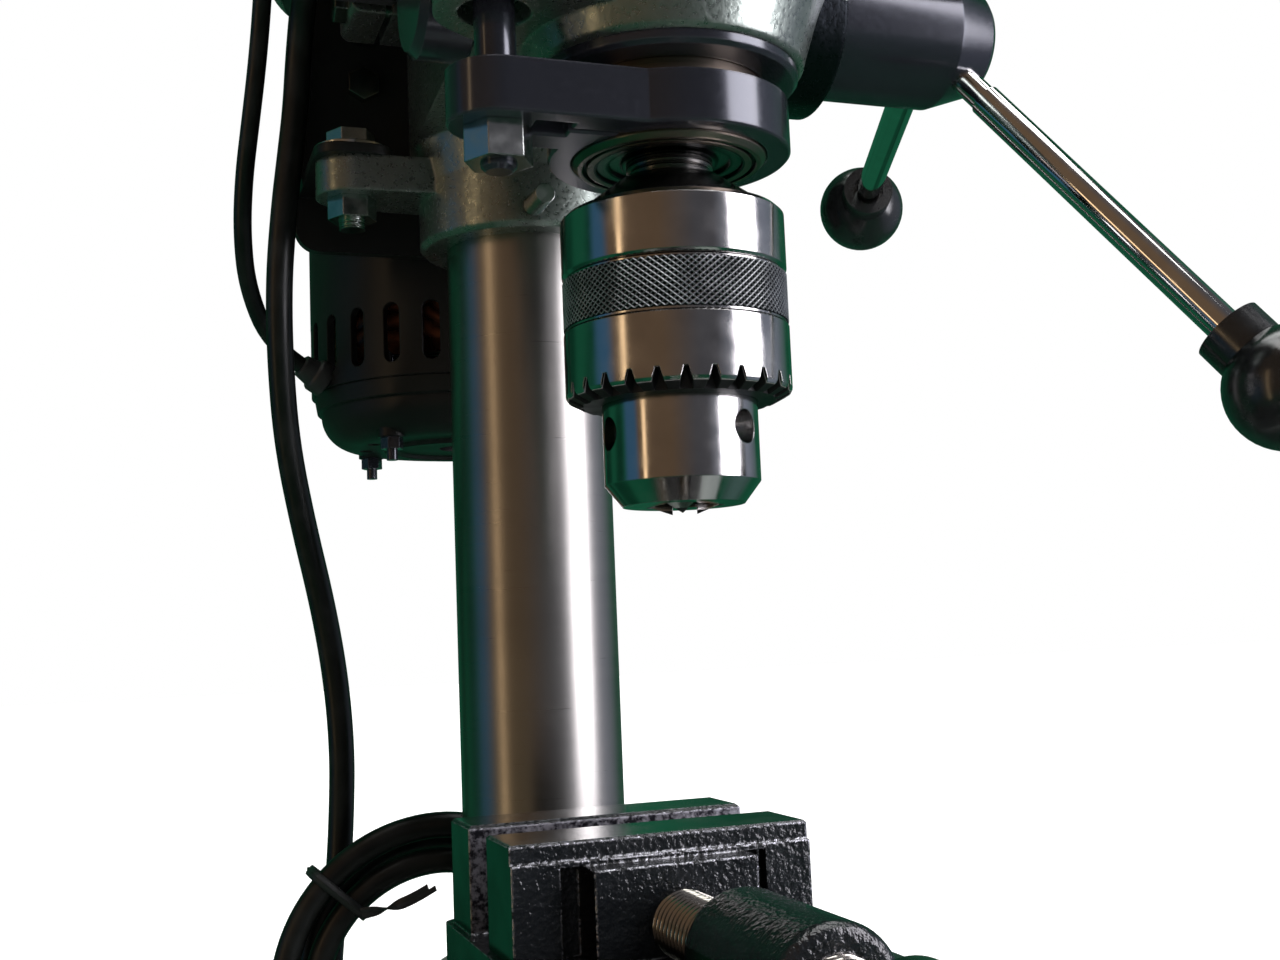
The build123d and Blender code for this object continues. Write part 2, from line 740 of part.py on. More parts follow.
# Head casting: quill neck in front, column collar behind, lugs and bosses at the sides
quill_top_z = quill_low_z + quill_length
quill_top_room = 2.0
bearing_shelf_z = quill_top_z + quill_top_room
split_y = column_y - split_lead
with BuildPart() as head_casting:
    with BuildSketch(Plane.XY.offset(body_low_z)):
        with Locations(spindle_foot):
            Circle(body_front_r)
        with Locations(column_foot):
            Circle(body_rear_r)
        make_hull()
    extrude(amount=head_top_z - body_low_z)
    fillet(head_casting.faces().sort_by(Axis.Z)[-1].edges(), 3.0)
    turned(spindle_foot, up, right, [
        (0, neck_low_z), (neck_r - 1, neck_low_z), (neck_r, neck_low_z + 1), (neck_r + 1.5, neck_low_z + 6),
        (neck_r + 4.5, neck_low_z + 15), (body_front_r, body_low_z), (body_front_r, body_low_z + 2),
        (0, body_low_z + 2)])
    turned(column_foot, up, right, [
        (0, collar_low_z), (collar_r - 1.5, collar_low_z), (collar_r, collar_low_z + 1.5),
        (collar_r, collar_flare_z), (body_rear_r, body_low_z), (body_rear_r, body_low_z + 2),
        (0, body_low_z + 2)])
    with BuildSketch(Plane.XY.offset(lug_low_z)):
        with Locations((lug_x, column_y), (-lug_x, column_y)):
            Circle(lug_r)
        with Locations(column_foot):
            Circle(lug_root_r)
        make_hull()
    extrude(amount=lug_t)
    for side in (1, -1):
        near = side * (body_rear_r - 8)
        far = side * (split_x + split_half_w)
        block((min(near, far), split_y - split_len / 2, split_low_z),
              (max(near, far), split_y + split_len / 2, split_top_z))
    fillet(head_casting.edges().filter_by(Axis.Y).filter_by(lambda e: abs(e.center().X) > split_x), 3.0)
    rod(place((0, pinion_y, pinion_z), right), hub_boss_r, hub_boss_x)
    rod(place((0, pinion_y, pinion_z), (-1, 0, 0)), spring_boss_r, -spring_boss_x)
    with BuildSketch(Plane.XY.offset(rod_boss_z)):
        with Locations((rod_x, rod_y)):
            Circle(rod_boss_r)
        with Locations(spindle_foot):
            Circle(neck_r - 6)
        make_hull()
    extrude(amount=rod_boss_h)
    # Bores and pockets
    rod(place((0, spindle_y, 0), up), quill_r + run_gap, bearing_shelf_z, mode=Mode.SUBTRACT)
    rod(place((0, spindle_y, 0), up), pulley_bearing_r + seat_gap, head_top_z, mode=Mode.SUBTRACT)
    rod(place((0, column_y, 0), up), column_r + seat_gap, column_top + 2, mode=Mode.SUBTRACT)
    block((-pocket_half_w, pocket_front_y, body_low_z - 20),
          (pocket_half_w, column_y - column_r - 11, pocket_top_z), mode=Mode.SUBTRACT)
    rod(place((-pinion_face / 2 - 1, pinion_y, pinion_z), right), right_journal_r + run_gap,
        hub_boss_x + pinion_face / 2 + 1, mode=Mode.SUBTRACT)
    rod(place((spring_boss_x, pinion_y, pinion_z), right), left_journal_r + run_gap, -spring_boss_x,
        mode=Mode.SUBTRACT)
    rod(place((rod_x, rod_y, rod_boss_z), up), rod_r + run_gap * 2, rod_boss_h, mode=Mode.SUBTRACT)
    rod(place((rod_x, rod_y, rod_boss_z), up), rod_hole_r, rod_hole_h, mode=Mode.SUBTRACT)
    rod(place((rod_x, rod_y, rod_boss_z + rod_boss_h), up), rod_channel_r, head_top_z, mode=Mode.SUBTRACT)
    for side in (1, -1):
        rod(place((side * lug_x, column_y, lug_low_z), up), m8_r + screw_gap, lug_t, mode=Mode.SUBTRACT)
        x = side * split_x
        rod(place((x, 0, slide_bar_z), back), slide_bar_r + run_gap, plate_y, mode=Mode.SUBTRACT)
        block((x - split_slit / 2, 0, split_low_z), (x + split_slit / 2, plate_y, slide_bar_z),
              mode=Mode.SUBTRACT)
        rod(place((side * (split_x + split_half_w), split_y, split_bolt_z), (-side, 0, 0)),
            m6_r + seat_gap, 2 * split_half_w - 2, mode=Mode.SUBTRACT)
    for z in side_screw_zs:
        rod(place((0, column_y, z), right), m8_r + seat_gap, 2 * body_rear_r, mode=Mode.SUBTRACT)
    rod(place((set_screw_x, column_y, set_screw_z), (0, -1, 0)), m6_r + seat_gap, 2 * collar_r,
        mode=Mode.SUBTRACT)
save(head_casting, "head_casting")

# Set screws that hold the head on the column
with BuildPart() as head_lock_screws:
    for z in side_screw_zs:
        grub_x = column_r + seat_gap + 0.3
        rod(place((grub_x, column_y, z), right), m8_r, body_rear_r - grub_x - 1)
        hexagon(place((body_rear_r - 6, column_y, z), right), 4.0, 10.0, mode=Mode.SUBTRACT)
    grub_y = column_y - sqrt(column_r ** 2 - set_screw_x ** 2) - 0.9
    grub_end_y = column_y - collar_r - set_screw_proud
    rod(place((set_screw_x, grub_end_y, set_screw_z), back), m6_r, grub_y - grub_end_y)
save(head_lock_screws, "head_lock_screws")

# Mouth ring: a black ring under the quill's bore
with BuildPart() as mouth_ring:
    turned(spindle_foot, up, right, [
        (quill_r + free_gap, neck_low_z), (quill_r + free_gap, neck_low_z - mouth_ring_h),
        (mouth_ring_r - 1, neck_low_z - mouth_ring_h), (mouth_ring_r, neck_low_z - mouth_ring_h + 1),
        (mouth_ring_r, neck_low_z)])
save(mouth_ring, "mouth_ring")

# Quill: a tube with bearing seats and a rack milled across its back
rack_pitch = pi * tooth_module
rack_line_y = pinion_y - pinion_pitch_r
rack_tip_y = rack_line_y + tooth_module
rack_root_y = rack_line_y - 1.25 * tooth_module
rack_flank = tan(radians(20))
rack_gap_half = rack_pitch / 4 + rack_backlash / 2
upper_seat_z = quill_top_z - upper_bearing_w
lower_seat_z = quill_low_z + lower_bearing_inset
lower_shelf_z = lower_seat_z + lower_bearing_w
rack_cuts = int((quill_travel + 12) / rack_pitch)
with BuildPart() as quill:
    turned(spindle_foot, up, right, [
        (quill_bore_r, lower_shelf_z), (lower_bearing_r + seat_gap, lower_shelf_z),
        (lower_bearing_r + seat_gap, quill_low_z), (end_groove_r, quill_low_z),
        (end_groove_r, quill_low_z + end_groove_d), (end_groove_r + end_groove_w, quill_low_z + end_groove_d),
        (end_groove_r + end_groove_w, quill_low_z), (quill_r - 1.2, quill_low_z), (quill_r, quill_low_z + 1.2),
        (quill_r, quill_top_z - 0.8), (quill_r - 0.8, quill_top_z), (upper_bearing_r + seat_gap, quill_top_z),
        (upper_bearing_r + seat_gap, upper_seat_z), (quill_bore_r, upper_seat_z)])
    rack_low_z = pinion_z - pinion_pitch_r - 2 * tooth_module
    block((-quill_r, rack_tip_y, rack_low_z), (quill_r, pinion_y, quill_top_z), mode=Mode.SUBTRACT)
    with BuildSketch(Plane.YZ.offset(-pinion_face / 2 - 1)) as gaps:
        for k in range(-1, rack_cuts):
            z = pinion_z + k * rack_pitch
            with BuildLine():
                Polyline((rack_root_y, z - rack_gap_half + rack_flank * 1.25 * tooth_module),
                         (rack_tip_y + 1, z - rack_gap_half - rack_flank * (tooth_module + 1)),
                         (rack_tip_y + 1, z + rack_gap_half + rack_flank * (tooth_module + 1)),
                         (rack_root_y, z + rack_gap_half - rack_flank * 1.25 * tooth_module), close=True)
            make_face()
    extrude(gaps.sketch, amount=pinion_face + 2, mode=Mode.SUBTRACT)
save(quill, "quill")

# Quill bearings: shielded ball bearings at both ends of the quill
with BuildPart() as quill_bearings:
    for z, outer_r, width, bore_r in ((lower_seat_z, lower_bearing_r, lower_bearing_w, spindle_r),
                                      (upper_seat_z, upper_bearing_r, upper_bearing_w, spindle_tail_r)):
        step = (outer_r - bore_r) / 3
        turned(spindle_foot, up, right, [
            (bore_r + run_gap, z), (bore_r + step, z), (bore_r + step, z + 0.8), (outer_r - step, z + 0.8),
            (outer_r - step, z), (outer_r, z), (outer_r, z + width), (bore_r + run_gap, z + width)])
save(quill_bearings, "quill_bearings")

# Spindle: taper for the chuck, shoulder under the bearing, splined tail
taper_low_z = chuck_top_z - taper_depth
shoulder_z = lower_seat_z - 0.2
with BuildPart() as spindle:
    turned(spindle_foot, up, right, [
        (0, taper_low_z + 2), (taper_low_r - seat_gap, taper_low_z + 2), (taper_top_r - seat_gap, chuck_top_z),
        (spindle_collar_r - 1, chuck_top_z + 0.3), (spindle_collar_r, chuck_top_z + 1.0),
        (spindle_collar_r, shoulder_z), (spindle_r, shoulder_z), (spindle_r, lower_shelf_z + 4),
        (spindle_tail_r, lower_shelf_z + 6), (spindle_tail_r, spindle_top_z - 1),
        (spindle_tail_r - 1, spindle_top_z), (0, spindle_top_z)])
    with Locations((0, spindle_y, quill_top_z + 1)):
        with PolarLocations(0, spline_count):
            with Locations((spindle_tail_r, 0)):
                Box(2 * spline_depth, spline_w, spindle_top_z - quill_top_z,
                    align=(Align.CENTER, Align.CENTER, Align.MIN), mode=Mode.SUBTRACT)
save(spindle, "spindle")

# Chuck body: top cone and ring, core inside the sleeve, nose with key holes and jaw bores
jaw_tip_z = nose_z - nose_tip_h - jaw_proud
jaw_lean = Vector(sin(radians(jaw_tilt)), 0, cos(radians(jaw_tilt)))
jaw_foot_r = jaw_opening_r + jaw_r * 0.55
jaw_angles = [key_hole_angle + 180 / jaw_count + k * 360 / jaw_count for k in range(jaw_count)]


def jaw_frame(angle):
    """Foot point and direction of the jaw that lies at an angle round the spindle."""
    turn = radians(angle)
    foot = Vector(jaw_foot_r * cos(turn), spindle_y + jaw_foot_r * sin(turn), jaw_tip_z)
    lean = Vector(jaw_lean.X * cos(turn), jaw_lean.X * sin(turn), jaw_lean.Z)
    return foot, lean


with BuildPart() as chuck_body:
    turned(spindle_foot, up, right, [
        (0, nose_z - nose_tip_h), (nose_tip_r, nose_z - nose_tip_h), (nose_r, nose_z), (nose_r, chuck_ring_z),
        (chuck_r - 0.8, chuck_ring_z), (chuck_r, chuck_ring_z + 0.8), (chuck_r, chuck_ring_top_z - 1.2),
        (chuck_r - 1.2, chuck_ring_top_z), (chuck_r - 4, chuck_ring_top_z + 1),
        (chuck_top_r + 4, chuck_top_z - 3), (chuck_top_r, chuck_top_z), (0, chuck_top_z)])
    turned(spindle_foot, up, right, [
        (0, taper_low_z), (taper_low_r, taper_low_z), (taper_top_r, chuck_top_z), (0, chuck_top_z)],
        mode=Mode.SUBTRACT)
    rod(place((0, spindle_y, nose_z - nose_tip_h), up), chuck_bore_r, chuck_bore_depth, mode=Mode.SUBTRACT)
    for angle in jaw_angles:
        foot, lean = jaw_frame(angle)
        rod(place(foot - lean * 12, lean), jaw_r + run_gap, jaw_length + 34, mode=Mode.SUBTRACT)
    for k in range(jaw_count):
        turn = radians(key_hole_angle + k * 360 / jaw_count)
        outward = Vector(cos(turn), sin(turn), 0)
        mouth = Vector(0, spindle_y, key_hole_z) + outward * (nose_r + 1)
        rod(place(mouth, outward * -1), key_hole_r, key_hole_depth + 1, mode=Mode.SUBTRACT)
save(chuck_body, "chuck_body")

# Chuck sleeve: knurled band above, bevel gear teeth below, hollow for the jaws
with BuildPart() as chuck_sleeve:
    cavity_r = chuck_r - sleeve_wall
    turned(spindle_foot, up, right, [
        (nose_r + run_gap, sleeve_low_z), (chuck_r - 3.5, sleeve_low_z), (chuck_r - 0.4, sleeve_low_z + 1.6),
        (chuck_r, sleeve_low_z + 2.4), (chuck_r, sleeve_knurl_z - 0.6), (knurl_r, sleeve_knurl_z),
        (knurl_r, sleeve_top_z), (cavity_r, sleeve_top_z), (cavity_r, sleeve_low_z + sleeve_lip_h + 3),
        (cavity_r - 3, sleeve_low_z + sleeve_lip_h), (nose_r + run_gap, sleeve_low_z + sleeve_lip_h)])
    with BuildSketch(place((chuck_r + 1, spindle_y, sleeve_low_z), right, back)) as notch:
        foot_half = gear_gap_w / 2 + (gear_gap_w - gear_gap_top_w) / 2 / gear_tooth_h
        with BuildLine():
            Polyline((-foot_half, -1), (foot_half, -1), (gear_gap_top_w / 2, gear_tooth_h),
                     (-gear_gap_top_w / 2, gear_tooth_h), close=True)
        make_face()
    with Locations(Location((0, spindle_y, 0))):
        notch_cut = extrude(notch.sketch, amount=-gear_tooth_depth, taper=6, mode=Mode.PRIVATE)
    for k in range(gear_teeth):
        add(notch_cut.rotate(Axis(spindle_foot, up), gear_phase + k * 360 / gear_teeth), mode=Mode.SUBTRACT)
save(chuck_sleeve, "chuck_sleeve")

# Chuck jaws: inclined pins with two ground flanks that grip, and tips bevelled all round
jaw_names = ("chuck_jaw_a", "chuck_jaw_b", "chuck_jaw_c")
for name, angle in zip(jaw_names, jaw_angles):
    foot, lean = jaw_frame(angle)
    turn = radians(angle)
    outward = Vector(cos(turn), sin(turn), 0)
    with BuildPart() as chuck_jaw:
        rod(place(foot - lean * 4, lean), jaw_r, jaw_length + 4)
        tip = Vector(0, spindle_y, jaw_tip_z) + outward * jaw_opening_r
        bevel_rise = (jaw_trim - jaw_opening_r) * tan(radians(jaw_bevel))
        turned(spindle_foot, up, right, [
            (0, jaw_tip_z - jaw_trim), (jaw_trim, jaw_tip_z - jaw_trim), (jaw_trim, jaw_tip_z + bevel_rise),
            (jaw_opening_r, jaw_tip_z), (0, jaw_tip_z)], mode=Mode.SUBTRACT)
        for flank in (jaw_flank, -jaw_flank):
            face_dir = Vector(cos(turn + radians(flank)), sin(turn + radians(flank)), 0)
            with Locations(place(tip, up, face_dir)):
                Box(jaw_trim, jaw_trim, 2 * jaw_trim, align=(Align.MAX, Align.CENTER, Align.CENTER),
                    mode=Mode.SUBTRACT)
    save(chuck_jaw, name)

# Depth stop collar: a clamp ring on the quill with an arm that carries the stop rod
with BuildPart() as depth_collar:
    with BuildSketch(Plane.XY.offset(stop_z)):
        with Locations(spindle_foot):
            Circle(stop_ring_r)
        with Locations((rod_x, rod_y)):
            Circle(arm_end_r)
        with Locations((rod_x / 2, rod_y)):
            Rectangle(-rod_x, 2 * arm_end_r)
        with Locations(spindle_foot):
            Circle(quill_r + seat_gap, mode=Mode.SUBTRACT)
        with Locations((rod_x, rod_y)):
            Circle(m8_r + seat_gap, mode=Mode.SUBTRACT)
        with Locations((arm_window_x, arm_window_y)):
            Rectangle(arm_window_w, arm_window_w, mode=Mode.SUBTRACT)
        with Locations((arm_window_x / 2, arm_window_y)):
            Rectangle(-arm_window_x, arm_slit, mode=Mode.SUBTRACT)
    extrude(amount=stop_h)
    chamfer(depth_collar.faces().sort_by(Axis.Z)[0].edges(), 0.5)
    screw_tail = rod_y - arm_end_r + 4
    screw_seat = rod_y + arm_end_r
    rod(place((arm_window_x, screw_tail, stop_z + stop_h / 2), back), arm_screw_r + seat_gap, 2 * arm_end_r,
        mode=Mode.SUBTRACT)
save(depth_collar, "depth_collar")

# Collar screw through the arm's window, and the nut under the stop rod
with BuildPart() as depth_stop_screws:
    screw_mid_z = stop_z + stop_h / 2
    rod(place((arm_window_x, screw_tail + 1, screw_mid_z), back), arm_screw_r, screw_seat - screw_tail - 1)
    rod(place((arm_window_x, screw_seat, screw_mid_z), back), arm_screw_head_r, arm_screw_head_h)
    hexagon(place((arm_window_x, screw_seat + arm_screw_head_h, screw_mid_z), (0, -1, 0)), arm_screw_head_r,
            arm_screw_head_h / 2, mode=Mode.SUBTRACT)
    hexagon(place((rod_x, rod_y, stop_z - rod_nut_h), up), rod_nut_flats, rod_nut_h)
    rod(place((rod_x, rod_y, stop_z - rod_nut_h), up), m8_r + seat_gap, rod_nut_h, mode=Mode.SUBTRACT)
save(depth_stop_screws, "depth_stop_screws")

rod_low_z = stop_z - rod_nut_h - 1.8
with BuildPart() as depth_rod:
    turned((rod_x, rod_y, 0), up, right, [
        (0, rod_low_z), (m8_r - 1, rod_low_z), (m8_r, rod_low_z + 1), (m8_r, stop_z + stop_h),
        (rod_r, stop_z + stop_h), (rod_r, rod_top_z - 1), (rod_r - 1, rod_top_z), (0, rod_top_z)])
save(depth_rod, "depth_rod")

# Stop nuts: a nut and a lock nut, set for the whole travel
stop_nut_z = rod_boss_z + rod_boss_h + quill_travel + free_gap
with BuildPart() as depth_stop_nuts:
    for z in (stop_nut_z, stop_nut_z + stop_nut_h + 0.3):
        hexagon(place((rod_x, rod_y, z), up), stop_nut_flats, stop_nut_h)
        rod(place((rod_x, rod_y, z), up), rod_r + run_gap, stop_nut_h, mode=Mode.SUBTRACT)
save(depth_stop_nuts, "depth_stop_nuts")

# Pinion shaft: journals at both ends, the pinion between them
pinion_tip_r = pinion_pitch_r + tooth_module
pinion_floor_r = pinion_pitch_r - 1.25 * tooth_module
with BuildPart() as pinion_shaft:
    journal_x = sqrt(quill_r ** 2 - (pinion_offset - right_journal_r) ** 2) + 2 * free_gap
    rod(place((-pinion_face / 2, pinion_y, pinion_z), right), pinion_floor_r, pinion_face / 2 + journal_x)
    rod(place((journal_x, pinion_y, pinion_z), right), right_journal_r, hub_boss_x - journal_x)
    rod(place((hub_boss_x, pinion_y, pinion_z), right), shaft_bore_r - seat_gap, hub_end_x - hub_boss_x - 8)
    rod(place((spring_boss_x - cap_len + cap_wall + 1, pinion_y, pinion_z), right), left_journal_r,
        -pinion_face / 2 + cap_len - cap_wall - 1 - spring_boss_x)
    for k in range(pinion_teeth):
        turn = radians(180 + k * 360 / pinion_teeth)
        tooth_plane = place((-pinion_face / 2, pinion_y, pinion_z), right, (0, cos(turn), sin(turn)))
        with BuildSketch(tooth_plane) as tooth:
            with BuildLine():
                Polyline((pinion_floor_r - 1, -pinion_root_w / 2), (pinion_pitch_r, -pinion_root_w / 2 + 0.1),
                         (pinion_tip_r, -pinion_tip_w / 2), (pinion_tip_r, pinion_tip_w / 2),
                         (pinion_pitch_r, pinion_root_w / 2 - 0.1), (pinion_floor_r - 1, pinion_root_w / 2),
                         close=True)
            make_face()
        extrude(tooth.sketch, amount=pinion_face)
save(pinion_shaft, "pinion_shaft")

# Feed hub: a cylinder with a coned end, and three holes square to the cone
spoke_rise = Vector(knob_x - spoke_root_x, knob_ring_r - spoke_root_ring_r, 0).normalized()
spoke_len = hypot(knob_x - spoke_root_x, knob_ring_r - spoke_root_ring_r)
spoke_angles = [spoke_first_angle + k * 360 / spoke_count for k in range(spoke_count)]


def spoke_frame(angle):
    """Root point on the hub's cone and direction of the spoke at an angle from +Y."""
    turn = radians(angle)
    root = Vector(spoke_root_x, pinion_y + spoke_root_ring_r * cos(turn),
                  pinion_z + spoke_root_ring_r * sin(turn))
    reach_out = Vector(spoke_rise.X, spoke_rise.Y * cos(turn), spoke_rise.Y * sin(turn))
    return root, reach_out


with BuildPart() as feed_hub:
    turned(pinion_root, right, up, [
        (shaft_bore_r, hub_x), (hub_r - 1, hub_x), (hub_r, hub_x + 1), (hub_r, hub_shoulder_x),
        (hub_end_r + 1, hub_end_x - 1.5), (hub_end_r - 0.5, hub_end_x), (0, hub_end_x), (0, hub_end_x - 6),
        (shaft_bore_r, hub_end_x - 6)])
    for angle in spoke_angles:
        root, lean = spoke_frame(angle)
        rod(place(root - lean * spoke_sunk, lean), spoke_neck_r + seat_gap, 2 * spoke_sunk, mode=Mode.SUBTRACT)
save(feed_hub, "feed_hub")

with BuildPart() as feed_spokes:
    for angle in spoke_angles:
        root, lean = spoke_frame(angle)
        rod(place(root - lean * spoke_sunk, lean), spoke_neck_r, spoke_sunk + spoke_neck_len)
        rod(place(root + lean * spoke_neck_len, lean), spoke_r, spoke_len - knob_hold - spoke_neck_len)
save(feed_spokes, "feed_spokes")

# Ball knobs: a ball with a cylindrical neck, and a shallow recess round the spoke
with BuildPart() as feed_knobs:
    for angle in spoke_angles:
        root, lean = spoke_frame(angle)
        centre = root + lean * spoke_len
        ball(centre, lean, knob_r, knob_neck_r, knob_neck_len, spoke_r + seat_gap, knob_hold - seat_gap)
        recess_floor = centre - lean * (knob_neck_len - knob_recess)
        rod(place(recess_floor, lean * -1), spoke_r + knob_recess / 2, knob_recess, mode=Mode.SUBTRACT)
save(feed_knobs, "feed_knobs")

# Spring cap on the left end of the pinion shaft, and the flat spiral spring inside it
with BuildPart() as spring_cap:
    turned((spring_boss_x, pinion_y, pinion_z), (-1, 0, 0), up, [
        (cap_r - cap_wall, 0), (cap_r, 0), (cap_r, cap_len - 2), (cap_r - 2, cap_len), (0, cap_len),
        (0, cap_len - cap_wall), (cap_r - cap_wall, cap_len - cap_wall)])
save(spring_cap, "spring_cap")

spring_x = spring_boss_x - 1
spring_start_r = left_journal_r + 1
spring_end_r = cap_r - cap_wall - spring_strip_t / 2 - 0.2
spring_pitch = (spring_end_r - spring_start_r) / spring_turns
with BuildPart() as return_spring:
    with BuildSketch(place((spring_x, pinion_y, pinion_z), (-1, 0, 0), back)) as coil_face:
        with BuildLine():
            half_turn_x = spring_start_r
            for k in range(2 * spring_turns):
                sign = 1 if k % 2 == 0 else -1
                radius_now = spring_start_r + (k + 0.5) * spring_pitch / 2
                middle = half_turn_x - sign * radius_now
                ThreePointArc((half_turn_x, 0), (middle, sign * radius_now), (middle - sign * radius_now, 0))
                half_turn_x = middle - sign * radius_now
        trace(line_width=spring_strip_t)
    extrude(coil_face.sketch, amount=spring_strip_w)
save(return_spring, "return_spring")

# Pulley sleeve: turns in two bearings in the head and drives the spindle's splines
sleeve_low_end_z = bearing_shelf_z + 1.0
sleeve_top_end_z = pulley_low_z + len(pulley_steps) * step_h + 1
with BuildPart() as pulley_sleeve:
    turned(spindle_foot, up, right, [
        (spindle_tail_r + run_gap, sleeve_low_end_z), (sleeve_r - seat_gap, sleeve_low_end_z),
        (sleeve_r - seat_gap, sleeve_top_end_z), (spindle_tail_r + run_gap, sleeve_top_end_z)])
    with Locations((0, spindle_y, sleeve_low_end_z)):
        with PolarLocations(0, spline_count):
            with Locations((spindle_tail_r, 0)):
                Box(2 * (spline_depth - 0.2), spline_w - 0.4, sleeve_top_end_z - sleeve_low_end_z,
                    align=(Align.CENTER, Align.CENTER, Align.MIN))
save(pulley_sleeve, "pulley_sleeve")

with BuildPart() as pulley_bearings:
    for k in range(2):
        z = head_top_z - (2 - k) * (pulley_bearing_w + 0.5)
        turned(spindle_foot, up, right, [
            (sleeve_r + run_gap, z), (pulley_bearing_r, z), (pulley_bearing_r, z + pulley_bearing_w),
            (sleeve_r + run_gap, z + pulley_bearing_w)])
save(pulley_bearings, "pulley_bearings")


def pulley_profile(steps, bore_r):
    """Half section of a stepped V pulley, from the bottom step up."""
    points = [(bore_r, pulley_low_z)]
    for k, step_r in enumerate(steps):
        z = pulley_low_z + k * step_h
        middle = z + step_h / 2
        points += [(step_r, z), (step_r, middle - groove_half_w),
                   (step_r - groove_depth, middle - groove_floor_half_w),
                   (step_r - groove_depth, middle + groove_floor_half_w),
                   (step_r, middle + groove_half_w), (step_r, z + step_h)]
    return points + [(bore_r, pulley_low_z + len(steps) * step_h)]


with BuildPart() as spindle_pulley:
    turned(spindle_foot, up, right, pulley_profile(pulley_steps, sleeve_r))
save(spindle_pulley, "spindle_pulley")

with BuildPart() as motor_pulley:
    turned(motor_foot, up, right, pulley_profile(pulley_steps[::-1], shaft_r))
save(motor_pulley, "motor_pulley")

# V-belt on the bottom steps: large pulley on the spindle, small one on the motor
belt_z = pulley_low_z + step_h / 2
belt_front_r = pulley_steps[0] - belt_gap
belt_rear_r = pulley_steps[-1] - belt_gap
belt_lean = acos((belt_front_r - belt_rear_r) / (motor_y - spindle_y))
groove_slope = (groove_half_w - groove_floor_half_w) / groove_depth
belt_out_half = groove_half_w - groove_slope * belt_gap - belt_gap
belt_in_half = belt_out_half - groove_slope * belt_t
tangent_x = sin(belt_lean)
tangent_y = cos(belt_lean)
with BuildPart() as belt:
    with BuildLine(Plane.XY.offset(belt_z)) as belt_path:
        front = (0, spindle_y - belt_front_r)
        front_right = (belt_front_r * tangent_x, spindle_y + belt_front_r * tangent_y)
        front_left = (-belt_front_r * tangent_x, spindle_y + belt_front_r * tangent_y)
        rear_right = (belt_rear_r * tangent_x, motor_y + belt_rear_r * tangent_y)
        rear_left = (-belt_rear_r * tangent_x, motor_y + belt_rear_r * tangent_y)
        ThreePointArc(front, (belt_front_r, spindle_y), front_right)
        Line(front_right, rear_right)
        ThreePointArc(rear_right, (0, motor_y + belt_rear_r), rear_left)
        Line(rear_left, front_left)
        ThreePointArc(front_left, (-belt_front_r, spindle_y), front)
    with BuildSketch(place((0, spindle_y - belt_front_r, belt_z), right, back)) as belt_section:
        with BuildLine():
            Polyline((0, -belt_out_half), (belt_t, -belt_in_half), (belt_t, belt_in_half), (0, belt_out_half),
                     close=True)
        make_face()
    sweep(belt_section.sketch, path=belt_path.wire())
save(belt, "belt")

# Motor: vented shell with two feet, end bells, stator, rotor, bearings and tie bolts
with BuildPart() as motor_shell:
    rod(place((0, motor_y, shell_low_z), up), motor_r, shell_top_z - shell_low_z)
    for side in (1, -1):
        x = side * foot_x
        block((x - foot_half_w, plate_y + plate_t, foot_low_z), (x + foot_half_w, motor_y - 20, foot_top_z))
    rod(place((0, motor_y, shell_low_z), up), motor_r - motor_wall, shell_top_z - shell_low_z,
        mode=Mode.SUBTRACT)
    for low_z in (vent_low_z, shell_low_z + shell_top_z - vent_low_z - vent_h):
        with Locations((0, motor_y, low_z + vent_h / 2)):
            with PolarLocations(motor_r, vent_count, start_angle=180 / vent_count):
                with Locations(Location((0, 0, 0), (0, 90, 0))):
                    Box(vent_h - vent_w, vent_w, 4 * motor_wall, mode=Mode.SUBTRACT)
                    with Locations(((vent_h - vent_w) / 2, 0), ((vent_w - vent_h) / 2, 0)):
                        Cylinder(vent_w / 2, 4 * motor_wall, mode=Mode.SUBTRACT)
    for side in (1, -1):
        for z in foot_bolt_zs:
            rod(place((side * foot_x, plate_y + plate_t, z), back), m6_r + seat_gap, 14, mode=Mode.SUBTRACT)
save(motor_shell, "motor_shell")

tie_points = [on_ring(tie_ring_r, tie_first_angle + 90 * k, 0, motor_y) for k in range(4)]


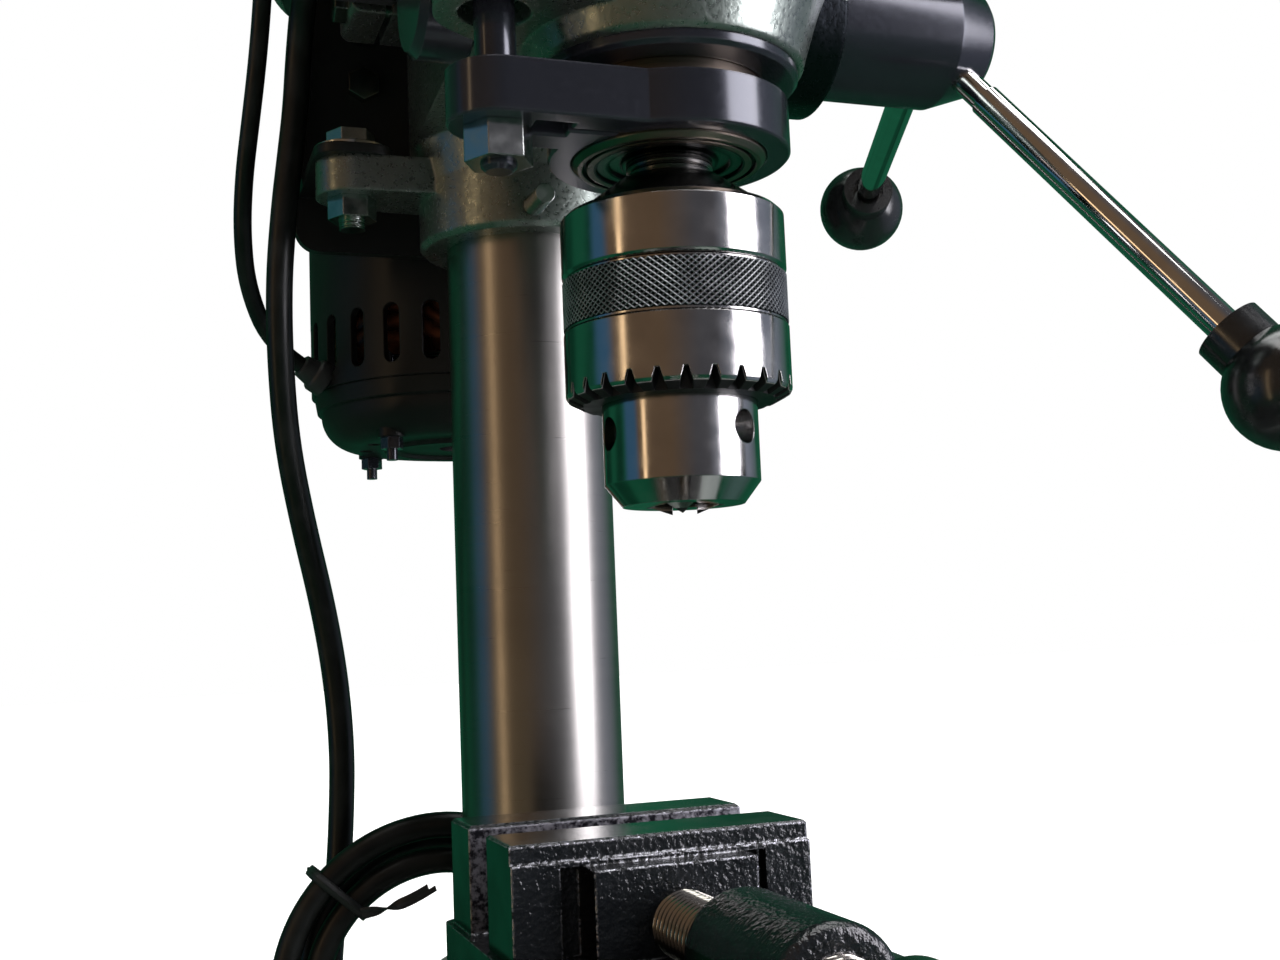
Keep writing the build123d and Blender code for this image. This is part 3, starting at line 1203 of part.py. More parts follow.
def end_bell(face_z, rim_z, boss):
    """A cup with a rim band, a rounded edge, a rib ring on its face and a seat for a bearing."""
    out = 1 if face_z > rim_z else -1
    axis = (0, 0, out)
    height = abs(face_z - rim_z)
    fit_r = motor_r - motor_wall - seat_gap
    cup_r = bell_r - bell_step
    inner = cup_r - bell_wall
    seat_end = height - bell_face_t
    turned((0, motor_y, rim_z), axis, right, [
        (fit_r - bell_wall, -bell_overlap), (fit_r, -bell_overlap), (fit_r, 0), (bell_r + 1, 0),
        (bell_r, bell_band_h), (cup_r, bell_band_h + 0.5), (cup_r, height), (boss + 12, height),
        (boss + 11, height + 1.5),
        (boss + 7, height + 1.5), (boss + 6, height), (shaft_r + 1.5, height), (shaft_r + 1.5, seat_end),
        (motor_bearing_r + seat_gap, seat_end), (motor_bearing_r + seat_gap, seat_end - motor_bearing_w),
        (motor_bearing_r + 3, seat_end - motor_bearing_w), (motor_bearing_r + 3, height - bell_wall),
        (inner - bell_edge_r, height - bell_wall), (inner, height - bell_edge_r - bell_wall)],
        rounded=[((cup_r, height), bell_edge_r)])
    for x, y, _ in tie_points:
        rod(place((x, y, face_z - out * bell_wall), axis), tie_pad_r, bell_wall)
        rod(place((x, y, rim_z), axis), tie_r + screw_gap, height + 5, mode=Mode.SUBTRACT)
    for k in range(vent_count // 2):
        angle = (k + 0.5) * 720 / vent_count
        if min(abs((angle - tie_first_angle - 90 * n + 180) % 360 - 180) for n in range(4)) > 10:
            x, y, _ = on_ring(bell_r - bell_edge_r - 5, angle, 0, motor_y)
            rod(place((x, y, face_z - out * bell_wall * 2), axis), 2.4, bell_wall * 4, mode=Mode.SUBTRACT)


with BuildPart() as motor_lower_bell:
    end_bell(motor_low_z, shell_low_z, motor_bearing_r)
save(motor_lower_bell, "motor_lower_bell")

with BuildPart() as motor_upper_bell:
    end_bell(motor_top_z, shell_top_z, motor_bearing_r)
save(motor_upper_bell, "motor_upper_bell")

stator_top_z = stator_low_z + stator_h
with BuildPart() as motor_stator:
    stator_r = motor_r - motor_wall - seat_gap
    turned(motor_foot, up, right, [
        (stator_in_r, stator_low_z), (winding_in_r, stator_low_z), (winding_in_r, stator_low_z - winding_h),
        (winding_out_r - 3, stator_low_z - winding_h), (winding_out_r, stator_low_z - winding_h + 4),
        (winding_out_r, stator_low_z), (stator_r, stator_low_z), (stator_r, stator_top_z),
        (winding_out_r, stator_top_z), (winding_out_r, stator_top_z + winding_h / 2 - 3),
        (winding_out_r - 3, stator_top_z + winding_h / 2), (winding_in_r, stator_top_z + winding_h / 2),
        (winding_in_r, stator_top_z), (stator_in_r, stator_top_z)])
    for x, y, _ in tie_points:
        rod(place((x, y, stator_low_z - winding_h), up), tie_r + screw_gap, stator_h + 2 * winding_h,
            mode=Mode.SUBTRACT)
save(motor_stator, "motor_stator")

shaft_low_z = motor_low_z + 3.5
shaft_top_z = pulley_low_z + len(pulley_steps) * step_h + 3
with BuildPart() as motor_rotor:
    rod(place((0, motor_y, shaft_low_z), up), shaft_r - seat_gap, shaft_top_z - shaft_low_z)
    rod(place((0, motor_y, stator_low_z), up), stator_in_r - rotor_gap, stator_h)
    with Locations((0, motor_y, stator_top_z)):
        with PolarLocations(0, fan_blades):
            with Locations((fan_r / 2 + 2, 0, 0)):
                Box(fan_r - 4, 2.0, fan_h, align=(Align.CENTER, Align.CENTER, Align.MIN))
save(motor_rotor, "motor_rotor")

with BuildPart() as motor_bearings:
    for z in (motor_low_z + bell_face_t, motor_top_z - bell_face_t - motor_bearing_w):
        turned(motor_foot, up, right, [
            (shaft_r + run_gap, z), (motor_bearing_r, z), (motor_bearing_r, z + motor_bearing_w),
            (shaft_r + run_gap, z + motor_bearing_w)])
save(motor_bearings, "motor_bearings")

with BuildPart() as motor_tie_bolts:
    for x, y, _ in tie_points:
        rod(place((x, y, motor_low_z - tie_end), up), tie_r, motor_top_z - motor_low_z + tie_end)
        hexagon(place((x, y, motor_low_z - tie_nut_h), up), tie_flats, tie_nut_h)
        hexagon(place((x, y, motor_top_z), up), tie_flats, tie_nut_h)
save(motor_tie_bolts, "motor_tie_bolts")

# Motor bracket: a bent plate with slotted ears on the lugs and two bars in the split lugs
ear_z = lug_low_z + lug_t
with BuildPart() as motor_bracket:
    with BuildSketch(place((0, plate_y, (plate_low_z + plate_top_z) / 2), back, right)):
        RectangleRounded(2 * plate_half_w, plate_top_z - plate_low_z, 8.0)
    extrude(amount=plate_t)
    for side in (1, -1):
        x = side * lug_x
        block((x - ear_half_w, column_y - ear_front, ear_z), (x + ear_half_w, plate_y + 1, ear_z + ear_t))
    fillet(motor_bracket.edges().filter_by(Axis.Z).group_by(Axis.Y)[0], 8.0)
    for side in (1, -1):
        rod(place((side * split_x, column_y - split_len / 2 - 6, slide_bar_z), back), slide_bar_r,
            plate_y + 1 - column_y + split_len / 2 + 6)
        for z in foot_bolt_zs:
            rod(place((side * foot_x, plate_y, z), back), m6_r + screw_gap, plate_t, mode=Mode.SUBTRACT)
    with BuildSketch(Plane.XY.offset(ear_z)):
        with Locations((lug_x, column_y + 5), (-lug_x, column_y + 5)):
            SlotOverall(ear_slot_len, 2 * (m8_r + screw_gap), rotation=90)
    extrude(amount=ear_t, mode=Mode.SUBTRACT)
save(motor_bracket, "motor_bracket")

# Bracket bolts: vertical bolts in the lugs, clamp bolts in the split lugs, foot bolts of the motor
clamp_z = ear_z + ear_t
with BuildPart() as bracket_bolts:
    for side in (1, -1):
        x = side * lug_x
        rod(place((x, column_y, clamp_z), up), ear_washer_r, washer_t)
        bolt((x, column_y, clamp_z + washer_t), up, m8_r, m8_flats, m8_head_h,
             washer_t + ear_t + lug_t + m8_nut_h + 3)
        hexagon(place((x, column_y, lug_low_z - m8_nut_h), up), m8_flats, m8_nut_h)
        bolt((side * (split_x + split_half_w), split_y, split_bolt_z), (side, 0, 0), m6_r, m6_flats,
             m6_head_h, 2 * split_half_w - 3)
        for z in foot_bolt_zs:
            bolt((side * foot_x, plate_y, z), (0, -1, 0), m6_r, m6_flats, m6_head_h, plate_t + 12)
save(bracket_bolts, "bracket_bolts")

# Belt guard: a tray on the head, with a rim and two hinge eyes on its left
cover_in_r = guard_r + cover_gap
cover_r = cover_in_r + cover_wall
hinge_x = -cover_r - hinge_gap - hinge_r


def long_round(radius):
    """The outline of two equal circles over the spindle and the motor, joined by tangents."""
    with Locations((0, spindle_y), (0, motor_y)):
        Circle(radius)
    make_hull()


with BuildPart() as belt_guard:
    with BuildSketch(Plane.XY.offset(head_top_z)) as guard_outline:
        long_round(guard_r)
    extrude(guard_outline.sketch, amount=guard_rim_h)
    with BuildSketch(Plane.XY.offset(head_top_z + guard_t)) as guard_inside:
        long_round(guard_r - guard_rim_t)
    extrude(guard_inside.sketch, amount=guard_rim_h, mode=Mode.SUBTRACT)
    for y in hinge_ys:
        block((hinge_x - hinge_r, y, head_top_z), (-guard_r + guard_rim_t, y + hinge_len, cover_low_z - 0.8))
        block((hinge_x - hinge_r, y, cover_low_z - 2), (hinge_x + hinge_r, y + hinge_len, hinge_z))
        rod(place((hinge_x, y, hinge_z), back), hinge_r, hinge_len)
        rod(place((hinge_x, y, hinge_z), back), hinge_pin_r + seat_gap, hinge_len, mode=Mode.SUBTRACT)
    rod(place((0, spindle_y, head_top_z), up), sleeve_r + 2, guard_t, mode=Mode.SUBTRACT)
    rod(place((0, motor_y, head_top_z), up), shaft_r + 6, guard_t, mode=Mode.SUBTRACT)
save(belt_guard, "belt_guard")

# Belt cover: a domed lid that swings up to the left
with BuildPart() as belt_cover:
    with BuildSketch(Plane.XY.offset(cover_low_z)) as cover_outline:
        long_round(cover_r)
    extrude(cover_outline.sketch, amount=cover_top_z - cover_low_z)
    fillet(belt_cover.faces().sort_by(Axis.Z)[-1].edges(), cover_edge_r)
    with BuildSketch(Plane.XY.offset(cover_low_z)) as cover_inside:
        long_round(cover_in_r)
    extrude(cover_inside.sketch, amount=cover_top_z - cover_wall - cover_low_z, mode=Mode.SUBTRACT)
    for y in hinge_ys:
        eye_y = y + hinge_len + free_gap
        block((hinge_x, eye_y, hinge_z - hinge_r), (-cover_in_r - 1, eye_y + hinge_len, hinge_z + hinge_r))
        rod(place((hinge_x, eye_y, hinge_z), back), hinge_r, hinge_len)
        rod(place((hinge_x, eye_y, hinge_z), back), hinge_pin_r + run_gap, hinge_len, mode=Mode.SUBTRACT)
save(belt_cover, "belt_cover")

with BuildPart() as hinge_pins:
    for y in hinge_ys:
        rod(place((hinge_x, y - 1, hinge_z), back), hinge_pin_r, 2 * hinge_len + free_gap + 2)
save(hinge_pins, "hinge_pins")

# Switch box on the left of the head, with two push buttons in front and two glands behind
button_x = (box_x0 + box_x1) / 2
mains_exit = (mains_exit_x, box_y1, box_z0 + mains_exit_h)
lead_exit = (lead_exit_x, box_y1, box_z0 + lead_exit_h)
with BuildPart() as switch_box:
    block((box_x0, box_y0, box_z0), (box_x1, box_y1, box_z1))
    fillet(switch_box.edges(), box_edge_r)
    block((box_x0 + box_wall, box_y0 + box_wall, box_z0 + box_wall),
          (box_x1 - box_wall, box_y1 - box_wall, box_z1 - box_wall), mode=Mode.SUBTRACT)
    block((box_x1 - 1, box_y0 + 8, box_z0 + 8), (-body_rear_r + 1, box_y1 - 8, box_z1 - 8))
    with BuildSketch(Plane.XY.offset(body_low_z)) as head_outline:
        with Locations(spindle_foot):
            Circle(body_front_r)
        with Locations(column_foot):
            Circle(body_rear_r)
        make_hull()
    extrude(head_outline.sketch, amount=head_top_z - body_low_z, mode=Mode.SUBTRACT)
    for z in button_zs:
        rod(place((button_x, box_y0, z), back), button_r + slide_gap, box_wall, mode=Mode.SUBTRACT)
        post_y = box_y0 + box_wall + slide_gap + button_stem + button_travel + free_gap
        rod(place((button_x, post_y, z), back), button_r - 2, box_y1 - box_wall - post_y)
    for point, cord in ((mains_exit, cord_d), (lead_exit, lead_d)):
        rod(place(point, (0, -1, 0)), cord / 2 + 1, box_wall, mode=Mode.SUBTRACT)
save(switch_box, "switch_box")

for name, z in zip(("switch_on_button", "switch_off_button"), button_zs):
    with BuildPart() as button:
        rod(place((button_x, box_y0 - button_proud, z), back), button_r, button_proud + box_wall + 1)
        rod(place((button_x, box_y0 + box_wall + slide_gap, z), back), button_r + 2, 2)
        rod(place((button_x, box_y0 + box_wall + slide_gap, z), back), button_r - 3, button_stem)
        fillet(button.edges().filter_by(GeomType.CIRCLE).group_by(Axis.Y)[0], 1.5)
    save(button, name)

# Coil: two flat layers of turns, wound inwards at the back and out again in front
coil_front_y = column_y + table_sleeve_r + coil_front_gap + cord_d / 2
coil_back_y = coil_front_y + coil_step
coil_z = flange_top_z + coil_stand_gap + cord_d / 2 + coil_turn_r
last_half = 2 * layer_halves


def coil_radius(k):
    """Radius at half turn k: it shrinks through the back layer and grows again through the front one."""
    if k < layer_halves - 1:
        steps = k + 1
    elif k > layer_halves:
        steps = last_half - k
    else:
        steps = layer_halves + 0.5
    return coil_turn_r - steps * coil_step / 2


def coil_stop(k):
    """Lowest or highest point of a turn, with the cord's heading there."""
    heading = 1 if k % 2 == 0 else -1
    y = coil_back_y if k < layer_halves else coil_front_y
    return Vector(coil_x, y, coil_z - heading * coil_radius(k)), Vector(heading, 0, 0)


def biarc(start, start_dir, end, end_dir):
    """Two tangent arcs between two points with given headings."""
    span = end - start
    both = start_dir + end_dir
    spread = 2 * (1 - start_dir.dot(end_dir))
    handle = (-span.dot(both) + sqrt(span.dot(both) ** 2 + spread * span.dot(span))) / spread
    joint = (start + start_dir * handle + end - end_dir * handle) * 0.5
    TangentArc(start, joint, tangent=start_dir)
    TangentArc(joint, end, tangent=end - end_dir * handle - joint)


coil_rise = Vector(*up)
coil_start = Vector(coil_x + (coil_radius(0) + coil_radius(1)) / 2, coil_back_y, coil_z)
coil_in = coil_start - coil_rise * cord_d
stops = [(coil_start, coil_rise)] + [coil_stop(k) for k in range(1, last_half + 1)]
coil_end, coil_heading = stops[-1]
coil_out = coil_end + coil_heading * cord_d
with BuildPart() as cord_coil:
    with BuildLine() as coil_path:
        Line(coil_in, coil_start)
        for (here, heading), (there, next_heading) in zip(stops, stops[1:]):
            biarc(here, heading, there, next_heading)
        Line(coil_end, coil_out)
    coil_wire = coil_path.wire()
    with BuildSketch(Plane(origin=coil_in, z_dir=coil_rise)) as coil_section:
        Circle(cord_d / 2)
    sweep(coil_section.sketch, path=coil_wire)
sample_count = 700
samples = [coil_wire.position_at(k / sample_count) for k in range(sample_count + 1)]
apart = 2.5 * cord_d / coil_wire.length * sample_count
nearest = min((a - b).length for i, a in enumerate(samples) for j, b in enumerate(samples) if j - i > apart)
coil_ratio = cord_coil.part.volume / (pi * cord_d ** 2 / 4 * coil_wire.length)
print("cord_coil length", round(coil_wire.length, 1), "least gap", round(nearest - cord_d, 2),
      "volume ratio", round(coil_ratio, 4))
save(cord_coil, "cord_coil")

# Cord routes: points chosen along the cords from end to end
lead_out = Vector(cos(radians(lead_angle)), sin(radians(lead_angle)), 0)
lead_dir = lead_out * cos(radians(lead_tilt)) + Vector(0, 0, sin(radians(lead_tilt)))
lead_seat = Vector(0, motor_y, lead_entry_z) + lead_out * motor_r
lead_mouth = lead_seat + lead_dir * grommet_len
lead_turn = lead_mouth + lead_dir * (2 * lead_d + 1)
drop_y = coil_back_y + cord_d + drop_gap
mains_route = [
    (mains_exit[0], 71.5, mains_exit[2]), (mains_exit[0], 87.5, mains_exit[2]), (-66.3, 101.2, 404.6),
    (-67.0, 109.2, 390.8), (-68.2, 109.2, 373.0), (-70.5, 106.0, 356.0), (-72.9, 104.0, 338.0),
    (-74.8, 105.5, 314.0), (-74.0, 111.5, 289.0), (-71.5, 119.0, 264.0), (-66.0, 126.0, 238.5),
    (-59.3, 131.5, 211.5), (-55.0, 134.5, 187.0), (-53.2, 135.4, 163.0), (-53.6, 137.6, 141.0),
    (-55.0, drop_y, 119.0), (-57.7, drop_y, 100.5), (-58.7, drop_y, 84.0), (-58.8, drop_y, 69.7),
    (-56.1, drop_y, 59.6), (-50.8, drop_y, 50.4), (-43.4, drop_y, 43.0), (-34.2, drop_y, 37.7),
    (-24.1, drop_y, 35.0), (-13.5, drop_y - 0.4, 35.0), (-3.4, drop_y - 2.0, 37.7), (5.8, drop_y - 4.6, 43.0),
    (13.2, drop_y - 7.6, 50.4), (18.5, drop_y - 10.0, 59.6), (coil_in.X, coil_back_y, 69.7), coil_in]
lead_route = [
    (lead_exit[0], 70.0, lead_exit[2]), (lead_exit[0], 86.0, lead_exit[2]), (-78.6, 98.0, 418.5),
    (-78.8, 106.0, 405.0), (-80.0, 111.5, 388.5), (-81.8, 117.0, 371.5), (-83.6, 124.5, 354.5),
    (-83.8, 133.0, 337.5), (-81.3, 143.5, 321.0), lead_turn, lead_mouth]
plug_z = base_h + plug_r + coil_stand_gap
lying_z = base_h + coil_stand_gap + cord_d / 2
tail_route = [
    coil_out, coil_out + coil_heading * 17.0, (19.0, 118.8, 37.2), (39.9, 119.0, 37.0), (56.5, 112.2, 34.6),
    (69.2, 99.5, 30.2), (75.6, 82.9, 27.4), (76.9, 63.0, lying_z), (76.5, 44.0, lying_z + 0.2),
    (76.2, 29.0, lying_z + 1.9), (plug_x, 14.5, plug_z - 3.8), (plug_x, plug_y + 17.0, plug_z),
    (plug_x, plug_y, plug_z)]


def cord_run(points, diameter, name):
    """A round tube along straight runs joined by the widest even bends, in the piece being made."""
    points = [Vector(*p) for p in points]
    radii = []
    for before, here, after in zip(points, points[1:], points[2:]):
        turn = radians((here - before).get_angle(after - here))
        shorter = min((here - before).length, (after - here).length)
        radii.append(0.45 * shorter / tan(turn / 2))
    with BuildLine() as path:
        FilletPolyline(*points, radius=radii)
    wire = path.wire()
    with BuildSketch(Plane(origin=points[0], z_dir=points[1] - points[0])) as section:
        Circle(diameter / 2)
    tube = sweep(section.sketch, path=wire)
    ratio = tube.volume / (pi * diameter ** 2 / 4 * wire.length)
    print(name, "length", round(wire.length, 1), "volume ratio", round(ratio, 4), "radii",
          [round(r, 1) for r in radii])
    return wire.length


# Mains cord: from the switch box down to the coil, and from the coil to the plug
with BuildPart() as mains_cord:
    upper_length = cord_run(mains_route, cord_d, "mains_cord")
with BuildPart() as mains_tail:
    tail_length = cord_run(tail_route, cord_d, "mains_tail")
with BuildPart() as mains_lengths:
    add(mains_cord.part)
    add(mains_tail.part)
save(mains_lengths, "mains_cord")
print("mains cord in all", round(upper_length + coil_wire.length + tail_length, 1))

with BuildPart() as motor_lead:
    cord_run(lead_route, lead_d, "motor_lead")
save(motor_lead, "motor_lead")

# Glands: a long tapered one for the mains cord, a short one for the lead, a grommet on the motor
with BuildPart() as cord_glands:
    for point, cord, length in ((mains_exit, cord_d, mains_gland_len), (lead_exit, lead_d, gland_len)):
        bore = cord / 2 + seat_gap
        turned(point, back, right, [
            (bore, 0), (bore + gland_wall, 0), (bore + gland_wall, 5), (bore + gland_wall - 1, 7),
            (bore + 1.2, length), (bore, length)])
    side = Plane(origin=lead_seat, z_dir=lead_dir).x_dir
    turned(lead_seat, lead_dir, side, [
        (lead_d / 2 + seat_gap, -gland_wall), (lead_d / 2 + gland_wall, -gland_wall),
        (lead_d / 2 + gland_wall, grommet_len / 2), (lead_d / 2 + 1.2, grommet_len),
        (lead_d / 2 + seat_gap, grommet_len)])
    rod(place((0, motor_y, motor_low_z), up), motor_r, shell_top_z - motor_low_z, mode=Mode.SUBTRACT)
save(cord_glands, "cord_glands")

# Plug: a round moulded body with two pins, lying on the base
with BuildPart() as plug:
    turned((plug_x, plug_y, plug_z), (0, -1, 0), up, [
        (0, 0), (cord_d / 2 + 1.5, 0), (plug_r - 3, 12), (plug_r, 16), (plug_r, plug_len - 2),
        (plug_r - 2, plug_len), (0, plug_len)])
    for side in (1, -1):
        pin_root = (plug_x + side * plug_pin_x, plug_y - plug_len, plug_z)
        rod(place(pin_root, (0, -1, 0)), plug_pin_r, plug_pin_len)
save(plug, "plug")

# Twist tie round all the strands at the coil's upper left
tie_in_r = coil_radius(layer_halves) - cord_d / 2 - free_gap
tie_front_y = coil_front_y - cord_d / 2 - free_gap
tie_back_y = coil_back_y + cord_d / 2 + 2 * free_gap
tie_turn = radians(tie_angle)
tie_mid_r = (tie_in_r + tie_out_r) / 2
tie_mid_y = (tie_front_y + tie_back_y) / 2
tie_out = Vector(cos(tie_turn), 0, sin(tie_turn))
tie_along = Vector(-sin(tie_turn), 0, cos(tie_turn))
tie_centre = Vector(coil_x, tie_mid_y, coil_z) + tie_out * tie_mid_r
with BuildPart() as cord_tie:
    with BuildSketch(place(tie_centre, tie_along, tie_out)) as band:
        inner_w = tie_out_r - tie_in_r
        inner_h = tie_back_y - tie_front_y
        RectangleRounded(inner_w + 2 * tie_band, inner_h + 2 * tie_band, tie_corner_r + tie_band)
        RectangleRounded(inner_w, inner_h, tie_corner_r, mode=Mode.SUBTRACT)
    extrude(band.sketch, amount=tie_band_w / 2, both=True)
save(cord_tie, "cord_tie")
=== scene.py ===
import bmesh
import bpy
from math import ceil, cos, pi, radians, sin
from mathutils import Matrix, Vector


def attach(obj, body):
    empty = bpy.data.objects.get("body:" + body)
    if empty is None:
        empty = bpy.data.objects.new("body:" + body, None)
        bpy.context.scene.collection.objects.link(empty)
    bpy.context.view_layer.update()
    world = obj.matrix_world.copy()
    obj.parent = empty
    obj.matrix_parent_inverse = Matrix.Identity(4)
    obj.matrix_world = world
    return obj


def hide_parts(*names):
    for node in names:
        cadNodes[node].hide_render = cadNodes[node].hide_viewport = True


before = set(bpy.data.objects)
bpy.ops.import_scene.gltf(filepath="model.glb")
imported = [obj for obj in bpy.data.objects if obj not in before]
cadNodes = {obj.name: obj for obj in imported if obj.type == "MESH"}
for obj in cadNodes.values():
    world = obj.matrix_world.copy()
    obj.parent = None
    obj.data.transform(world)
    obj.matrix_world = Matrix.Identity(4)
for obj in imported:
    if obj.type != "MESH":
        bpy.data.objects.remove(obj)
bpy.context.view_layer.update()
print("frame loaded:", len(cadNodes), "nodes")

mm = 0.001


def linear(hexText):  # sRGB hex to the linear colour that shaders take
    parts = [int(hexText[i:i + 2], 16) / 255 for i in (1, 3, 5)]
    return (*[p / 12.92 if p <= 0.04045 else ((p + 0.055) / 1.055) ** 2.4 for p in parts], 1.0)


def perMetre(sizeMm):  # noise and wave scale for a pattern of that size
    return 1000.0 / sizeMm


def feed(finish, socket, value):  # another node's output is linked; a hex colour, number or vector is set
    if isinstance(value, bpy.types.NodeSocket):
        finish.node_tree.links.new(value, socket)
    else:
        socket.default_value = linear(value) if isinstance(value, str) else value


def addNode(finish, kind, sockets=None, **options):
    node = finish.node_tree.nodes.new("ShaderNode" + kind)
    for key, value in options.items():
        setattr(node, key, value)
    for key, value in (sockets or {}).items():
        feed(finish, node.inputs[key], value)
    return node


def startFinish(name):  # a new finish, and the place on the part in metres
    finish = bpy.data.materials.new(name)
    finish.use_nodes = True
    return finish, addNode(finish, "TexCoord").outputs["Object"]


def endFinish(finish, sockets):  # what the surface takes: constants and the outputs made before
    shader = finish.node_tree.nodes["Principled BSDF"]
    for key, value in sockets.items():
        feed(finish, shader.inputs[key], value)
    return finish


def noise(finish, place, sizeMm, detail, roughness=0.5):
    return addNode(finish, "TexNoise", {"Vector": place, "Scale": perMetre(sizeMm), "Detail": detail,
                                        "Roughness": roughness}).outputs["Fac"]


def wave(finish, place, sizeMm, direction, distortion):
    return addNode(finish, "TexWave", {"Vector": place, "Scale": perMetre(sizeMm) / 20 * pi, "Distortion": distortion,
                                       "Detail": 2.0}, bands_direction=direction).outputs["Fac"]


def drawnOut(finish, place, sizesMm, detail, roughness=0.5):  # noise of a different size along each axis
    lie = addNode(finish, "Mapping", {"Vector": place, "Scale": [perMetre(size) for size in sizesMm]})
    return addNode(finish, "TexNoise", {"Vector": lie.outputs[0], "Scale": 1.0, "Detail": detail,
                                        "Roughness": roughness}).outputs["Fac"]


def ramp(finish, source, low, high, toLow=0.0, toHigh=1.0):  # held at both ends
    return addNode(finish, "MapRange", {0: source, 1: low, 2: high, 3: toLow, 4: toHigh}).outputs[0]


def mix(finish, share, first, second):
    return addNode(finish, "Mix", {0: share, 6: first, 7: second}, data_type="RGBA").outputs[2]


def sums(finish, operation, *values):
    return addNode(finish, "Math", dict(enumerate(values)), operation=operation).outputs[0]


def vectorSums(finish, operation, *values):
    node = addNode(finish, "VectorMath", dict(enumerate(values)), operation=operation)
    return node.outputs["Value" if operation in ("DOT_PRODUCT", "LENGTH") else 0]


def split(finish, vector):
    return addNode(finish, "SeparateXYZ", {0: vector}).outputs


def bevel(finish, edgeMm):  # normal with the edges rounded
    return addNode(finish, "Bevel", {"Radius": edgeMm * mm}, samples=4).outputs[0]


def bump(finish, height, depthMm, normal=None, strength=1.0):
    sockets = {"Height": height, "Distance": depthMm * mm, "Strength": strength}
    if normal is not None:
        sockets["Normal"] = normal
    return addNode(finish, "Bump", sockets).outputs[0]


def edgeTurn(finish, rounded, normalName):  # 1 on flat faces, less where the rounded edge leans away
    return vectorSums(finish, "DOT_PRODUCT", rounded, addNode(finish, "NewGeometry").outputs[normalName])


def fromAxis(finish, place, footMm, across):  # distance from an axis through that foot, across it
    shift = vectorSums(finish, "SUBTRACT", place, [part * mm for part in footMm])
    return vectorSums(finish, "LENGTH", vectorSums(finish, "MULTIPLY", shift, across))


# camera, solved on the column, chuck and feed lever of the photograph
photoCamera = {"at": (-0.12376, -0.36296, 0.19841), "yaw": 0.347, "pitch": 0.1035, "roll": -0.0409,
               "focalPixels": 1454.6, "imageWide": 1280, "sensorMm": 36.0}


def setCamera(spec):
    yaw, pitch, roll = spec["yaw"], spec["pitch"], spec["roll"]
    ahead = Vector((sin(yaw) * cos(pitch), cos(yaw) * cos(pitch), sin(pitch)))
    right = Vector((cos(yaw), -sin(yaw), 0))
    over = right.cross(ahead)
    tiltedRight = cos(roll) * right + sin(roll) * over
    tiltedOver = -sin(roll) * right + cos(roll) * over
    data = bpy.data.cameras.new("photoCamera")
    data.sensor_width = spec["sensorMm"]
    data.lens = spec["focalPixels"] / spec["imageWide"] * spec["sensorMm"]
    data.clip_start = 0.01
    camera = bpy.data.objects.new("photoCamera", data)
    turn = Matrix((tiltedRight, tiltedOver, -ahead)).transposed().to_4x4()
    camera.matrix_world = Matrix.Translation(spec["at"]) @ turn
    bpy.context.scene.collection.objects.link(camera)
    bpy.context.scene.camera = camera


setCamera(photoCamera)
print("camera set")

# finishes that several pieces share are made first, each from what the real surface is


def pvcJacket():  # extruded PVC cord jacket: soft sheen, faint drawing lines, a little dust
    spec = {"jacket": "#060807", "dust": "#121514", "dustMm": 9.0, "skinMm": 0.9, "skinDepthMm": 0.02}
    finish, place = startFinish("extrudedPvcJacket")
    dust = noise(finish, place, spec["dustMm"], 5.0)
    skin = noise(finish, place, spec["skinMm"], 2.0)
    return endFinish(finish, {"IOR": 1.53, "Specular IOR Level": 0.4,
                              "Base Color": mix(finish, ramp(finish, dust, 0.45, 0.8), spec["jacket"], spec["dust"]),
                              "Roughness": ramp(finish, dust, 0.3, 0.7, 0.30, 0.46),
                              "Normal": bump(finish, skin, spec["skinDepthMm"], strength=0.6)})


def mouldedPvc():  # injection-moulded soft PVC of glands and plug: duller than the jacket, fine spark texture
    spec = {"body": "#101112", "worn": "#1d1f1f", "sparkMm": 0.55, "sparkDepthMm": 0.03, "handledMm": 11.0,
            "edgeMm": 0.6}
    finish, place = startFinish("mouldedSoftPvc")
    spark = noise(finish, place, spec["sparkMm"], 3.0)
    handled = noise(finish, place, spec["handledMm"], 3.0)
    return endFinish(finish, {"IOR": 1.53, "Base Color": mix(finish, handled, spec["body"], spec["worn"]),
                              "Roughness": ramp(finish, handled, 0.3, 0.7, 0.38, 0.55),
                              "Normal": bump(finish, spark, spec["sparkDepthMm"], bevel(finish, spec["edgeMm"]), 0.7)})


jacketFinish = pvcJacket()
mouldedFinish = mouldedPvc()


def showPiece(name, data, finish, body):
    piece = bpy.data.objects.new(name, data)
    bpy.context.scene.collection.objects.link(piece)
    data.materials.append(finish)
    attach(piece, body)
    return piece


def meshFrom(name, build, smoothAngle=35):
    mesh = bpy.data.meshes.new(name)
    build.normal_update()
    build.to_mesh(mesh)
    build.free()
    mesh.polygons.foreach_set("use_smooth", [True] * len(mesh.polygons))
    mesh.set_sharp_from_angle(angle=radians(smoothAngle))
    return mesh


def axesOf(along):
    along = Vector(along).normalized()
    across = Vector((0, 0, 1)) if abs(along.z) < 0.9 else Vector((1, 0, 0))
    across = (across - along * across.dot(along)).normalized()
    return along, across, along.cross(across)


def addSkin(build, rings):  # quads between each ring and the next
    for low, high in zip(rings, rings[1:]):
        for i in range(len(low)):
            j = (i + 1) % len(low)
            build.faces.new((low[i], low[j], high[j], high[i]))


